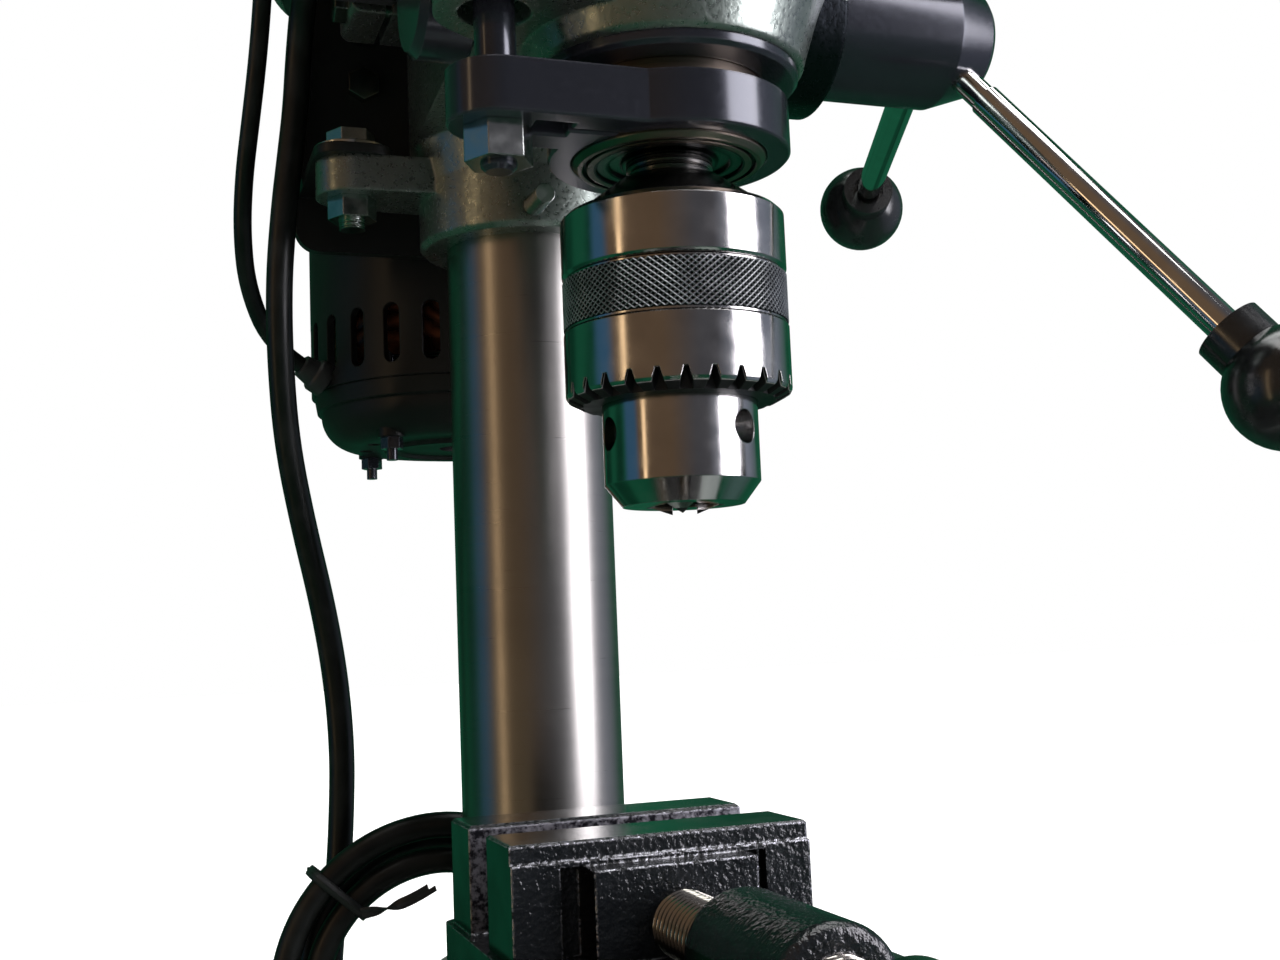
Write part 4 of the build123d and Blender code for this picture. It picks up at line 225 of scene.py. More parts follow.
def addTurned(build, at, along, profile, sides=64):  # profile of (radius, distance along), in mm
    along, across, third = axesOf(along)
    rings = []
    for radius, reach in profile:
        rings.append([build.verts.new(Vector(at) * mm + along * reach * mm
                                      + (across * cos(2 * pi * i / sides) + third * sin(2 * pi * i / sides))
                                      * radius * mm) for i in range(sides)])
    addSkin(build, rings)
    build.faces.new(rings[0][::-1])
    build.faces.new(rings[-1])


# cords: mains cord with its tied coil in one line, and the lead down to the motor
mainsSpec = {"thickMm": 8.5, "lengthM": 1.477,
             "drop": [(-66, 71.5, 412.5), (-66, 87.5, 412.5), (-66.3, 101.2, 404.6), (-67, 109.2, 390.8),
                      (-68.2, 109.2, 373), (-70.5, 106, 356), (-72.9, 104, 338), (-74.8, 105.5, 314),
                      (-74, 111.5, 289), (-71.5, 119, 264), (-66, 126, 238.5), (-59.3, 131.5, 211.5),
                      (-55, 134.5, 187), (-53.2, 135.4, 163), (-53.6, 137.6, 141), (-55, 138.6, 119),
                      (-57.7, 138.6, 100.5), (-58.7, 138.6, 84), (-58.8, 138.6, 69.7), (-56.1, 138.6, 59.6),
                      (-50.8, 138.6, 50.4), (-43.4, 138.6, 43), (-34.2, 138.6, 37.7), (-24.1, 138.6, 35),
                      (-13.5, 138.2, 35), (-3.4, 136.6, 37.7), (5.8, 134, 43), (13.2, 131, 50.4),
                      (18.5, 128.6, 59.6), (21.175, 127.35, 69.7), (21.175, 127.35, 81.05)],
             "tail": [(-16.5, 118.25, 36.55), (0.5, 118.25, 36.55), (19, 118.8, 37.2), (39.9, 119, 37),
                      (56.5, 112.2, 34.6), (69.2, 99.5, 30.2), (75.6, 82.9, 27.4), (76.9, 63, 26.55),
                      (76.5, 44, 26.75), (76.2, 29, 28.45), (76, 14.5, 35.5), (76, 1, 39.3), (76, -16, 39.3)],
             "coilX": -25.0, "coilZ": 89.55, "backY": 127.35, "frontY": 118.25, "firstRadius": 46.175,
             "stopRadii": [43.9, 37.075, 37.075, 43.9, 48.45, 53.0], "crossing": 1, "pointsPerTurn": 16}


def coilPoints(spec):  # up the right side, then half turns from top to bottom and back, in to the middle and out again
    perHalf = spec["pointsPerTurn"] // 2
    grow = 1 / cos(pi / spec["pointsPerTurn"])  # a NURBS line runs inside its points
    radii = spec["stopRadii"]
    points = []
    for i in range(perHalf // 2):
        share = i / (perHalf // 2)
        points.append((2 * pi + pi / 2 * share, spec["firstRadius"] + (radii[0] - spec["firstRadius"]) * share,
                       spec["backY"]))
    for k in range(len(radii) - 1):
        for i in range(perHalf):
            swing = (1 - cos(pi * i / perHalf)) / 2
            radius = radii[k] + (radii[k + 1] - radii[k]) * swing
            layer = 0 if k < spec["crossing"] else swing if k == spec["crossing"] else 1
            depth = spec["backY"] + (spec["frontY"] - spec["backY"]) * layer
            points.append((2.5 * pi + pi * k + pi * i / perHalf, radius, depth))
    points.append((2.5 * pi + pi * (len(radii) - 1), radii[-1] / grow, spec["frontY"]))
    return [(spec["coilX"] + radius * grow * cos(angle), depth, spec["coilZ"] + radius * grow * sin(angle))
            for angle, radius, depth in points]


leadSpec = {"thickMm": 6.0, "lengthM": 0.173,
            "route": [(-79, 70, 425), (-79, 86, 425), (-78.6, 98, 418.5), (-78.8, 106, 405), (-80, 111.5, 388.5),
                      (-81.8, 117, 371.5), (-83.6, 124.5, 354.5), (-83.8, 133, 337.5), (-81.3, 143.5, 321),
                      (-72.50, 157.21, 304.5), (-61.67, 160.32, 298.0)]}


def cordLine(name, route, thickMm):
    curve = bpy.data.curves.new(name, "CURVE")
    curve.dimensions = "3D"
    curve.bevel_depth = thickMm / 2 * mm
    curve.bevel_resolution = 5
    curve.resolution_u = 6
    curve.use_fill_caps = True
    spline = curve.splines.new("NURBS")
    spline.points.add(len(route) - 1)
    for point, (x, y, z) in zip(spline.points, route):
        point.co = (x * mm, y * mm, z * mm, 1)
    spline.order_u = 3
    spline.use_endpoint_u = True
    return curve


mainsRoute = mainsSpec["drop"] + coilPoints(mainsSpec) + mainsSpec["tail"]
mainsCord = showPiece("mainsCord", cordLine("mainsCord", mainsRoute, mainsSpec["thickMm"]), jacketFinish,
                      "stand")
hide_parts("mains_cord", "cord_coil")
motorLead = showPiece("motorLead", cordLine("motorLead", leadSpec["route"], leadSpec["thickMm"]), jacketFinish,
                      "stand")
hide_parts("motor_lead")
print("cords laid:", len(mainsRoute), "points in the mains cord")

# glands: ribbed strain relief on the switch box, a short one for the lead, a grommet on the motor
glandSpec = {"mains": {"at": (-66, 58, 412.5), "along": (0, 1, 0), "cord": 8.5, "length": 22, "ribs": 5},
             "lead": {"at": (-79, 58, 425), "along": (0, 1, 0), "cord": 6.0, "length": 14, "ribs": 3},
             "motor": {"at": (-53.35, 162.70, 293), "along": (-0.8325, -0.2387, 0.5), "cord": 6.0, "length": 10,
                       "ribs": 0},
             "wall": 3.2, "collar": 5.0}


def glandProfile(spec, wall, collar):
    bore = spec["cord"] / 2
    outer = bore + wall
    points = [(outer, -0.5), (outer, collar - 1.2), (outer - 0.5, collar - 0.4), (outer - 1.2, collar)]
    run = spec["length"] - collar
    ribs = spec["ribs"]
    for k in range(ribs):
        a = collar + run * k / ribs
        step = run / ribs
        thick = outer - 1.0 - (wall - 2.2) * k / ribs
        points += [(thick, a + 0.15 * step), (thick, a + 0.55 * step), (thick - 0.9, a + 0.65 * step),
                   (thick - 0.9, a + 0.95 * step)]
    return points + [(bore + 1.2, spec["length"] - 0.4), (bore + 0.6, spec["length"]), (bore - 0.6, spec["length"])]


def buildGlands(spec):
    build = bmesh.new()
    for key in ("mains", "lead", "motor"):
        one = spec[key]
        addTurned(build, one["at"], one["along"], glandProfile(one, spec["wall"], spec["collar"]), sides=40)
    glands = showPiece("cordGlands", meshFrom("cordGlands", build), mouldedFinish, "stand")
    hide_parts("cord_glands")


buildGlands(glandSpec)

# plug: round moulded body with a waist of grip ribs, and two brass pins
plugSpec = {"at": (76, -16, 39.3), "radius": 17.0, "length": 34.0, "cord": 8.5, "pinX": 9.5, "pinRadius": 2.4,
            "pinLength": 19.0, "grips": 5, "gripsFrom": 13.6, "gripPitch": 2.4}


def drawnBrass():  # drawn brass rod: yellow metal with fine lengthwise lines
    spec = {"brass": "#c8a86a", "lineMm": 0.8}
    finish, place = startFinish("drawnBrass")
    lines = noise(finish, place, spec["lineMm"], 2.0)
    return endFinish(finish, {"Metallic": 1.0, "Base Color": spec["brass"],
                              "Roughness": ramp(finish, lines, 0.0, 1.0, 0.18, 0.34)})


def buildPlug(spec):
    x, y, z = spec["at"]
    back = (0, -1, 0)
    neck = spec["cord"] / 2 + 1.5
    outer, face = spec["radius"], spec["length"]
    body = [(neck - 1.2, -0.2), (neck, 0.3), (neck + 0.4, 1.5), (outer - 4.6, 10.2), (outer - 2.6, 12.6)]
    for k in range(spec["grips"]):
        a = spec["gripsFrom"] + k * spec["gripPitch"]
        body += [(outer - 0.9, a), (outer, a + 0.5), (outer, a + 1.4), (outer - 0.9, a + 1.9)]
    body += [(outer, 26.6), (outer, face - 1.8), (outer - 0.6, face - 0.6), (outer - 1.9, face), (outer - 4.5, face),
             (outer - 4.8, face - 0.4), (1.0, face - 0.4)]
    build = bmesh.new()
    addTurned(build, spec["at"], back, body, sides=72)
    plug = showPiece("mouldedPlug", meshFrom("mouldedPlug", build), mouldedFinish, "stand")
    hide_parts("plug")
    pins = bmesh.new()
    for side in (1, -1):
        r, length = spec["pinRadius"], spec["pinLength"]
        addTurned(pins, (x + side * spec["pinX"], y - spec["length"], z), back,
                  [(r, -1.0), (r, length - 1.6), (r - 0.35, length - 0.7), (r - 1.0, length - 0.15),
                   (r - 1.8, length)], sides=32)
    pinPiece = showPiece("plugPins", meshFrom("plugPins", pins), drawnBrass(), "stand")
    return plug, pinPiece


mouldedPlug, plugPins = buildPlug(plugSpec)

# twist tie: a flat plastic ribbon with a wire down its middle, its two ends turned once round each other
tieSpec = {"turn": 138.0, "innerMm": 32.4, "outerMm": 54.6, "frontY": 113.6, "backY": 132.4, "wideMm": 3.4,
           "thinMm": 0.8, "tailFrom": (-51.5, 112.6, 113.2), "tailTo": (-28.6, 108.0, 120.4), "bowMm": 1.6,
           "endWideMm": 1.75, "endThinMm": 0.75, "ends": (1.0, 0.91), "tailSteps": 32, "steps": 72,
           "square": 0.55,  # a ribbon pulled round a bundle is squarer than an ellipse
           "ribbon": [(-0.5, 0.0), (-0.18, 0.3), (0.0, 1.0), (0.18, 0.3), (0.5, 0.0), (0.0, -0.35)],
           "endRibbon": [(-0.5, -0.3), (-0.2, -0.5), (0.2, -0.5), (0.5, -0.3), (0.5, 0.3), (0.2, 0.5), (-0.2, 0.5),
                         (-0.5, 0.3)]}


def buildTie(spec):
    turn = radians(spec["turn"])
    outward = Vector((cos(turn), 0, sin(turn)))
    forward = Vector((0, -1, 0))
    wide = Vector((-sin(turn), 0, cos(turn)))
    middle = Vector((mainsSpec["coilX"], 0, mainsSpec["coilZ"]))
    middle += outward * (spec["innerMm"] + spec["outerMm"]) / 2
    middle.y = (spec["frontY"] + spec["backY"]) / 2
    halfOut = (spec["outerMm"] - spec["innerMm"]) / 2 + 0.5
    halfDeep = (spec["backY"] - spec["frontY"]) / 2 + 0.5
    build = bmesh.new()
    rings = []
    for i in range(spec["steps"]):
        a = 2 * pi * i / spec["steps"]
        u = halfOut * abs(cos(a)) ** spec["square"] * (1 if cos(a) >= 0 else -1)
        v = halfDeep * abs(sin(a)) ** spec["square"] * (1 if sin(a) >= 0 else -1)
        out = (outward * cos(a) / halfOut + forward * sin(a) / halfDeep).normalized()
        centre = middle + outward * u + forward * v
        rings.append([build.verts.new((centre + wide * s * spec["wideMm"] + out * t * spec["thinMm"]) * mm)
                      for s, t in spec["ribbon"]])
    addSkin(build, rings + rings[:1])
    start, path = Vector(spec["tailFrom"]), Vector(spec["tailTo"]) - Vector(spec["tailFrom"])
    along, across, third = axesOf(path)
    for side, end in zip((0.5, -0.5), spec["ends"]):
        tail = []
        for i in range(spec["tailSteps"] + 1):
            share = end * i / spec["tailSteps"]
            spin = pi * (1 - cos(pi * min(1.0, share / 0.7))) / 2
            flat, thick = across * cos(spin) + third * sin(spin), third * cos(spin) - across * sin(spin)
            centre = start + path * share - across * spec["bowMm"] * sin(pi * share) + flat * side * spec["endWideMm"]
            tail.append([build.verts.new((centre + flat * s * spec["endWideMm"] + thick * t * spec["endThinMm"]) * mm)
                         for s, t in spec["endRibbon"]])
        addSkin(build, tail)
        build.faces.new(tail[0][::-1])
        build.faces.new(tail[-1])
    bmesh.ops.recalc_face_normals(build, faces=build.faces)
    tie = showPiece("twistTie", meshFrom("twistTie", build, 50), mouldedFinish, "stand")
    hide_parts("cord_tie")
    return tie


twistTie = buildTie(tieSpec)
print("glands, plug and tie made")


# metal and paint finishes

def aluminiumPaintSandCast():  # silver paint over a sand casting: fine grain, a slow swell, bright worn edges, and painted shade in black on the feed boss
    spec = {"light": "#989f99", "dark": "#727a74", "bare": "#bcbeba", "black": "#1d2024", "sandMm": 1.3,
            "sandDepthMm": 0.12, "swellMm": 11.0, "swellDepthMm": 0.45, "blotchMm": 38.0, "edgeMm": 1.3,
            "bossMm": (41.5, 3.0, 343.0), "bossHalfMm": 13.0}
    finish, place = startFinish("aluminiumPaintOnSandCasting")
    sand = noise(finish, place, spec["sandMm"], 2.0)
    swell = noise(finish, place, spec["swellMm"], 2.0)
    blotch = noise(finish, place, spec["blotchMm"], 4.0)
    rounded = bevel(finish, spec["edgeMm"])
    edge = ramp(finish, edgeTurn(finish, rounded, "Normal"), 0.97, 0.80, 0.0, 0.55)
    colour = mix(finish, edge, mix(finish, blotch, spec["dark"], spec["light"]), spec["bare"])
    spot = split(finish, place)  # painted shade: the feed boss's lower half is coloured black like the hub
    bossX, bossY, bossZ = spec["bossMm"]
    outer = ramp(finish, spot["X"], (bossX - 0.5) * mm, (bossX + 0.5) * mm)
    front = ramp(finish, spot["Y"], (bossY + 0.5) * mm, (bossY - 0.5) * mm)
    under = sums(finish, "COMPARE", spot["Z"], bossZ * mm, spec["bossHalfMm"] * mm)
    bossShadeMask = sums(finish, "MULTIPLY", sums(finish, "MULTIPLY", outer, front), under)
    slow = bump(finish, swell, spec["swellDepthMm"], rounded, 0.8)
    return endFinish(finish, {"Metallic": 0.96, "Coat Weight": 0.25, "Coat Roughness": 0.16,
                              "Base Color": mix(finish, bossShadeMask, colour, spec["black"]),
                              "Roughness": ramp(finish, sand, 0.3, 0.7, 0.24, 0.38),
                              "Normal": bump(finish, sand, spec["sandDepthMm"], slow, 0.9)})


def milledTopCasting():  # painted casting whose top was milled: pale grainy sides, a bare flat top with cutter lines
    spec = {"dark": "#7c837e", "light": "#a2a9a3", "metal": "#8f9391", "stain": "#6c7371", "bareEdge": "#9a9d9b",
            "topMm": 106.0, "lumpMm": 1.4, "lumpDepthMm": 0.12, "poreMm": 1.12, "stainMm": 16.0, "cutterMm": 0.9,
            "cutterDepthMm": 0.012, "edgeMm": 0.9}
    finish, place = startFinish("milledTopCastTable")
    face = addNode(finish, "NewGeometry").outputs["True Normal"]
    facing = ramp(finish, split(finish, face)["Z"], 0.90, 0.96)
    high = ramp(finish, split(finish, place)["Z"], (spec["topMm"] - 0.9) * mm, (spec["topMm"] - 0.5) * mm)
    milled = sums(finish, "MULTIPLY", facing, high)
    unmilled = sums(finish, "SUBTRACT", 1.0, milled)
    lump = noise(finish, place, spec["lumpMm"], 3.0, 0.55)
    pores = addNode(finish, "TexVoronoi", {"Vector": place, "Scale": perMetre(spec["poreMm"])}).outputs["Distance"]
    cutter = wave(finish, place, spec["cutterMm"], "Y", 1.2)
    stain = noise(finish, place, spec["stainMm"], 5.0)
    rounded = bevel(finish, spec["edgeMm"])
    chipped = ramp(finish, edgeTurn(finish, rounded, "True Normal"), 0.96, 0.78)
    bareEdge = sums(finish, "MULTIPLY", chipped, ramp(finish, lump, 0.46, 0.56))
    paint = mix(finish, bareEdge, mix(finish, lump, spec["dark"], spec["light"]), spec["bareEdge"])
    rough = addNode(finish, "Mix", {0: milled, 2: ramp(finish, lump, 0.3, 0.7, 0.30, 0.46),
                                    3: ramp(finish, stain, 0.3, 0.7, 0.26, 0.42)}, data_type="FLOAT").outputs[0]
    cast = bump(finish, lump, spec["lumpDepthMm"], rounded, unmilled)
    pitted = bump(finish, pores, spec["lumpDepthMm"] / 2, cast, unmilled)
    metal = mix(finish, stain, spec["stain"], spec["metal"])
    return endFinish(finish, {"Base Color": mix(finish, milled, paint, metal),
                              "Metallic": sums(finish, "MAXIMUM", milled, bareEdge), "Roughness": rough,
                              "Normal": bump(finish, cutter, spec["cutterDepthMm"], pitted, milled)})


def blackViseCasting():  # black gloss paint on a coarse casting, its edges rubbed bright with a painted highlight of glints; ground tops, ends and jaws, the ends painted darker as painted shade
    spec = {"black": "#0b0d0f", "grey": "#1b1e21", "steel": "#c6c7c8", "tarnish": "#a0a3a2", "jawDark": "#2b2a30",
            "jawLight": "#a5a3aa", "end": "#3c403d", "chipGlint": "#c9c8d0", "grainMm": 1.2, "grainDepthMm": 0.42,
            "blotchMm": 9.0, "jawPitMm": 1.6, "edgeMm": 0.8, "topMm": 156.0, "jawMiddleMm": -41.5, "jawHalfMm": 9.5,
            "railMm": 132.4, "flat": 0.97, "jawWear": 0.22}
    finish, place = startFinish("blackPaintedViseCasting")
    lean = split(finish, addNode(finish, "NewGeometry").outputs["True Normal"])
    spot = split(finish, place)
    level = sums(finish, "GREATER_THAN", lean["Z"], 0.93)
    high = sums(finish, "GREATER_THAN", spot["Z"], (spec["topMm"] - 0.6) * mm)
    top = sums(finish, "MULTIPLY", level, high)
    ends = sums(finish, "GREATER_THAN", sums(finish, "ABSOLUTE", lean["X"]), spec["flat"])
    across = sums(finish, "GREATER_THAN", sums(finish, "ABSOLUTE", lean["Y"]), spec["flat"])
    near = sums(finish, "COMPARE", spot["Y"], spec["jawMiddleMm"] * mm, spec["jawHalfMm"] * mm)
    aboveRail = sums(finish, "GREATER_THAN", spot["Z"], spec["railMm"] * mm)
    jaws = sums(finish, "MULTIPLY", across, sums(finish, "MULTIPLY", near, aboveRail))
    bare = sums(finish, "MAXIMUM", sums(finish, "MAXIMUM", top, ends), jaws)
    grain = noise(finish, place, spec["grainMm"], 2.0)
    blotch = noise(finish, place, spec["blotchMm"], 4.0)
    pitted = ramp(finish, noise(finish, place, spec["jawPitMm"], 5.0, 0.65), 0.42, 0.60)
    # painted shade: the ground end faces take a darker colour than the ground tops
    flatsWithShadedEnds = mix(finish, ends, mix(finish, blotch, spec["tarnish"], spec["steel"]), spec["end"])
    metal = mix(finish, jaws, flatsWithShadedEnds, mix(finish, pitted, spec["jawDark"], spec["jawLight"]))
    colour = mix(finish, bare, mix(finish, blotch, spec["black"], spec["grey"]), metal)
    worn = sums(finish, "MULTIPLY_ADD", jaws, spec["jawWear"], ramp(finish, blotch, 0.3, 0.7, 0.15, 0.27))
    rough = addNode(finish, "Mix", {0: bare, 2: ramp(finish, blotch, 0.3, 0.7, 0.12, 0.25), 3: worn},
                    data_type="FLOAT").outputs[0]
    rounded = bevel(finish, spec["edgeMm"])
    # chipped paint on the edges, which also serves as a painted highlight band of glints along the lip
    rubbed = ramp(finish, edgeTurn(finish, rounded, "True Normal"), 0.985, 0.86)
    chipsAndGlints = sums(finish, "MULTIPLY", rubbed, ramp(finish, grain, 0.44, 0.54))
    painted = sums(finish, "SUBTRACT", 1.0, bare)
    return endFinish(finish, {"IOR": 1.5, "Base Color": mix(finish, chipsAndGlints, colour, spec["chipGlint"]),
                              "Metallic": sums(finish, "MAXIMUM", bare, chipsAndGlints), "Roughness": rough,
                              "Normal": bump(finish, grain, spec["grainDepthMm"], rounded, painted)})


def dulled(hexText, share, lift):  # the same colour under a little dust
    return (*[share * part + lift for part in linear(hexText)[:3]], 1.0)


def stovedEnamel():  # stoved enamel on pressed steel: even sheen with a slight orange peel
    spec = {"black": "#060807", "gloss": 0.34, "peelMm": 2.6, "peelDepthMm": 0.02, "dustMm": 22.0, "edgeMm": 0.8}
    finish, place = startFinish("stovedSatinBlackEnamel")
    peel = noise(finish, place, spec["peelMm"], 1.0)
    dust = noise(finish, place, spec["dustMm"], 6.0)
    return endFinish(finish, {"IOR": 1.5, "Specular IOR Level": 0.3,
                              "Base Color": mix(finish, dust, spec["black"], dulled(spec["black"], 0.75, 0.004)),
                              "Roughness": ramp(finish, dust, 0.3, 0.7, spec["gloss"], spec["gloss"] + 0.14),
                              "Normal": bump(finish, peel, spec["peelDepthMm"], bevel(finish, spec["edgeMm"]), 0.8)})


def blackOxide():  # hot black oxide with an oil film on turned steel: blue-black, clear highlights, paler edges
    spec = {"black": "#2a2c33", "scuff": "#33353c", "bare": "#6d6c74", "scuffMm": 1.6, "edgeMm": 0.7,
            "toolDepthMm": 0.006}
    finish, place = startFinish("hotBlackOxideOnTurnedSteel")
    scuff = noise(finish, place, spec["scuffMm"], 6.0, 0.65)
    rounded = bevel(finish, spec["edgeMm"])
    edge = ramp(finish, edgeTurn(finish, rounded, "Normal"), 0.96, 0.80, 0.0, 0.6)
    dull = mix(finish, ramp(finish, scuff, 0.55, 0.9), spec["black"], spec["scuff"])
    return endFinish(finish, {"Metallic": 0.75, "Coat Weight": 0.6, "Coat Roughness": 0.15,
                              "Base Color": mix(finish, edge, dull, spec["bare"]),
                              "Roughness": ramp(finish, scuff, 0.35, 0.8, 0.17, 0.27),
                              "Normal": bump(finish, scuff, spec["toolDepthMm"], rounded, 0.8)})


def groundSteel(name, hexText, darkHex, roughLow, roughHigh, ringMm, axis, depthMm=0.004, grooves=()):
    # cylindrically ground steel: rings of fine scratches round the axis that draw the highlights out along it
    spec = {"lengthMm": 60.0, "edgeMm": 0.5, "oilMm": 26.0, "spindleY": -50.0, "grooveShade": "#0b0c0b"}
    finish, place = startFinish(name)
    sizes = [ringMm if letter == axis else spec["lengthMm"] for letter in "XYZ"]
    rings = drawnOut(finish, place, sizes, 4.0, 0.7)
    colour = mix(finish, noise(finish, place, spec["oilMm"], 5.0), darkHex, hexText)
    if grooves:  # painted shade: black in the gaps round the spindle between the races, the shield and the quill
        reach = fromAxis(finish, place, (0, spec["spindleY"], 0), (1, 1, 0))
    for middleMm, halfMm in grooves:
        gap = sums(finish, "COMPARE", reach, middleMm * mm, halfMm * mm)
        colour = mix(finish, gap, colour, spec["grooveShade"])
    return endFinish(finish, {"Metallic": 1.0, "Base Color": colour,
                              "Roughness": ramp(finish, rings, 0.3, 0.7, roughLow, roughHigh),
                              "Normal": bump(finish, rings, depthMm, bevel(finish, spec["edgeMm"]), 0.7)})


def zincPlate(name, threads=()):  # bright zinc on pressed and rolled fasteners: pale, cloudy, rolled rings on threads
    spec = {"bright": "#cfd1ce", "cloud": "#b0b3af", "cloudMm": 3.5, "edgeMm": 0.5, "threadDepthMm": 0.35}
    finish, place = startFinish(name)
    cloud = noise(finish, place, spec["cloudMm"], 5.0)
    normal = bevel(finish, spec["edgeMm"])
    spot = split(finish, place)
    for lowMm, highMm, pitchMm, direction in threads:
        above = sums(finish, "GREATER_THAN", spot[direction], lowMm * mm)
        below = sums(finish, "LESS_THAN", spot[direction], highMm * mm)
        ridge = sums(finish, "SINE", sums(finish, "MULTIPLY", spot[direction], 2 * pi / (pitchMm * mm)))
        normal = bump(finish, ridge, spec["threadDepthMm"], normal, sums(finish, "MULTIPLY", above, below))
    return endFinish(finish, {"Metallic": 1.0, "Base Color": mix(finish, cloud, spec["cloud"], spec["bright"]),
                              "Roughness": ramp(finish, cloud, 0.3, 0.7, 0.14, 0.27), "Normal": normal})


def polishedToolSteel(name, gapRadiusMm, gapTopMm):
    # turned and polished steel of the chuck: clear stripes of light, faint turning rings, painted shade between the
    # teeth
    spec = {"steel": "#c6c4c2", "shade": "#a9a7a6", "gapShade": "#0b0b0c", "ringMm": (80.0, 80.0, 0.35), "stainMm": 7.0,
            "depthMm": 0.0025, "edgeMm": 0.35, "axisY": -50.0, "gapShadeDulls": -0.7, "gapShadeRoughens": 0.35}
    finish, place = startFinish(name)
    rings = drawnOut(finish, place, spec["ringMm"], 3.0)
    stain = noise(finish, place, spec["stainMm"], 6.0)
    reach = fromAxis(finish, place, (0, spec["axisY"], 0), (1, 1, 0))
    # painted shade: near-black, duller and rougher inside the gaps below the given height
    inside = ramp(finish, reach, (gapRadiusMm - 0.15) * mm, (gapRadiusMm - 0.5) * mm)
    inShadedGap = sums(finish, "MULTIPLY", inside, sums(finish, "LESS_THAN", split(finish, place)["Z"], gapTopMm * mm))
    shine = ramp(finish, stain, 0.3, 0.75, 0.10, 0.22)
    steel = mix(finish, stain, spec["shade"], spec["steel"])
    return endFinish(finish, {"Base Color": mix(finish, inShadedGap, steel, spec["gapShade"]),
                              "Metallic": sums(finish, "MULTIPLY_ADD", inShadedGap, spec["gapShadeDulls"], 1.0),
                              "Roughness": sums(finish, "MULTIPLY_ADD", inShadedGap, spec["gapShadeRoughens"], shine),
                              "Normal": bump(finish, rings, spec["depthMm"], bevel(finish, spec["edgeMm"]), 0.6)})


def chromePlate():  # bright chrome on drawn bar: mirror-like, with finger haze
    spec = {"chrome": "#dcdbda", "haze": "#c2bfbc", "hazeMm": 6.0}
    finish, place = startFinish("brightChromePlate")
    haze = noise(finish, place, spec["hazeMm"], 6.0)
    return endFinish(finish, {"Metallic": 1.0, "Base Color": mix(finish, haze, spec["haze"], spec["chrome"]),
                              "Roughness": ramp(finish, haze, 0.35, 0.8, 0.05, 0.17)})


def compressionPhenolic():  # compression-moulded phenolic ball: deep gloss black with faint filler clouds and rubs
    spec = {"black": "#08090a", "filler": "#141516", "fillerMm": 1.4, "fillerDepthMm": 0.01, "rubMm": 9.0}
    finish, place = startFinish("compressionMouldedPhenolic")
    filler = noise(finish, place, spec["fillerMm"], 5.0)
    rub = noise(finish, place, spec["rubMm"], 6.0, 0.7)
    return endFinish(finish, {"IOR": 1.62, "Base Color": mix(finish, filler, spec["black"], spec["filler"]),
                              "Roughness": ramp(finish, rub, 0.35, 0.75, 0.14, 0.32),
                              "Normal": bump(finish, filler, spec["fillerDepthMm"], strength=0.4)})


def windingCopper():  # enamelled copper windings: brown-red strands under varnish
    spec = {"dark": "#26120b", "copper": "#6b3a22", "strandMm": 1.4, "strandDepthMm": 0.4}
    finish, place = startFinish("varnishedCopperWindings")
    strands = wave(finish, place, spec["strandMm"], "DIAGONAL", 3.0)
    return endFinish(finish, {"Metallic": 0.8, "Base Color": mix(finish, strands, spec["dark"], spec["copper"]),
                              "Roughness": ramp(finish, strands, 0.0, 1.0, 0.25, 0.45),
                              "Normal": bump(finish, strands, spec["strandDepthMm"])})


def turnedAluminium():  # turned cast aluminium pulley: pale grey with tool rings
    spec = {"dark": "#a3a6a7", "light": "#c4c6c6", "ringMm": (60.0, 60.0, 0.6), "ringDepthMm": 0.02, "edgeMm": 0.4}
    finish, place = startFinish("turnedCastAluminium")
    rings = drawnOut(finish, place, spec["ringMm"], 3.0)
    return endFinish(finish, {"Metallic": 1.0, "Base Color": mix(finish, rings, spec["dark"], spec["light"]),
                              "Roughness": ramp(finish, rings, 0.3, 0.7, 0.26, 0.44),
                              "Normal": bump(finish, rings, spec["ringDepthMm"], bevel(finish, spec["edgeMm"]))})


def wrappedBelt():  # rubber V-belt in woven wrap: dull black with a bias weave, polished where it rubs
    spec = {"black": "#111112", "rubbed": "#232425", "weaveMm": 0.7, "weaveDepthMm": 0.08, "rubMm": 8.0}
    finish, place = startFinish("wovenWrapRubberBelt")
    weave = addNode(finish, "TexChecker", {"Vector": place, "Scale": perMetre(spec["weaveMm"])}).outputs["Fac"]
    rub = noise(finish, place, spec["rubMm"], 4.0)
    return endFinish(finish, {"IOR": 1.52, "Base Color": mix(finish, rub, spec["black"], spec["rubbed"]),
                              "Roughness": ramp(finish, rub, 0.0, 1.0, 0.5, 0.75),
                              "Normal": bump(finish, weave, spec["weaveDepthMm"], strength=0.7)})


def texturedAbs(name, hexText, grainMm, depthMm, gloss):  # moulded ABS with a spark-eroded grain
    spec = {"touchMm": 12.0, "edgeMm": 0.7}
    finish, place = startFinish(name)
    grain = noise(finish, place, grainMm, 3.0)
    touch = noise(finish, place, spec["touchMm"], 4.0)
    return endFinish(finish, {"IOR": 1.54, "Base Color": mix(finish, touch, hexText, dulled(hexText, 0.8, 0.01)),
                              "Roughness": ramp(finish, touch, 0.3, 0.7, gloss, gloss + 0.15),
                              "Normal": bump(finish, grain, depthMm, bevel(finish, spec["edgeMm"]))})


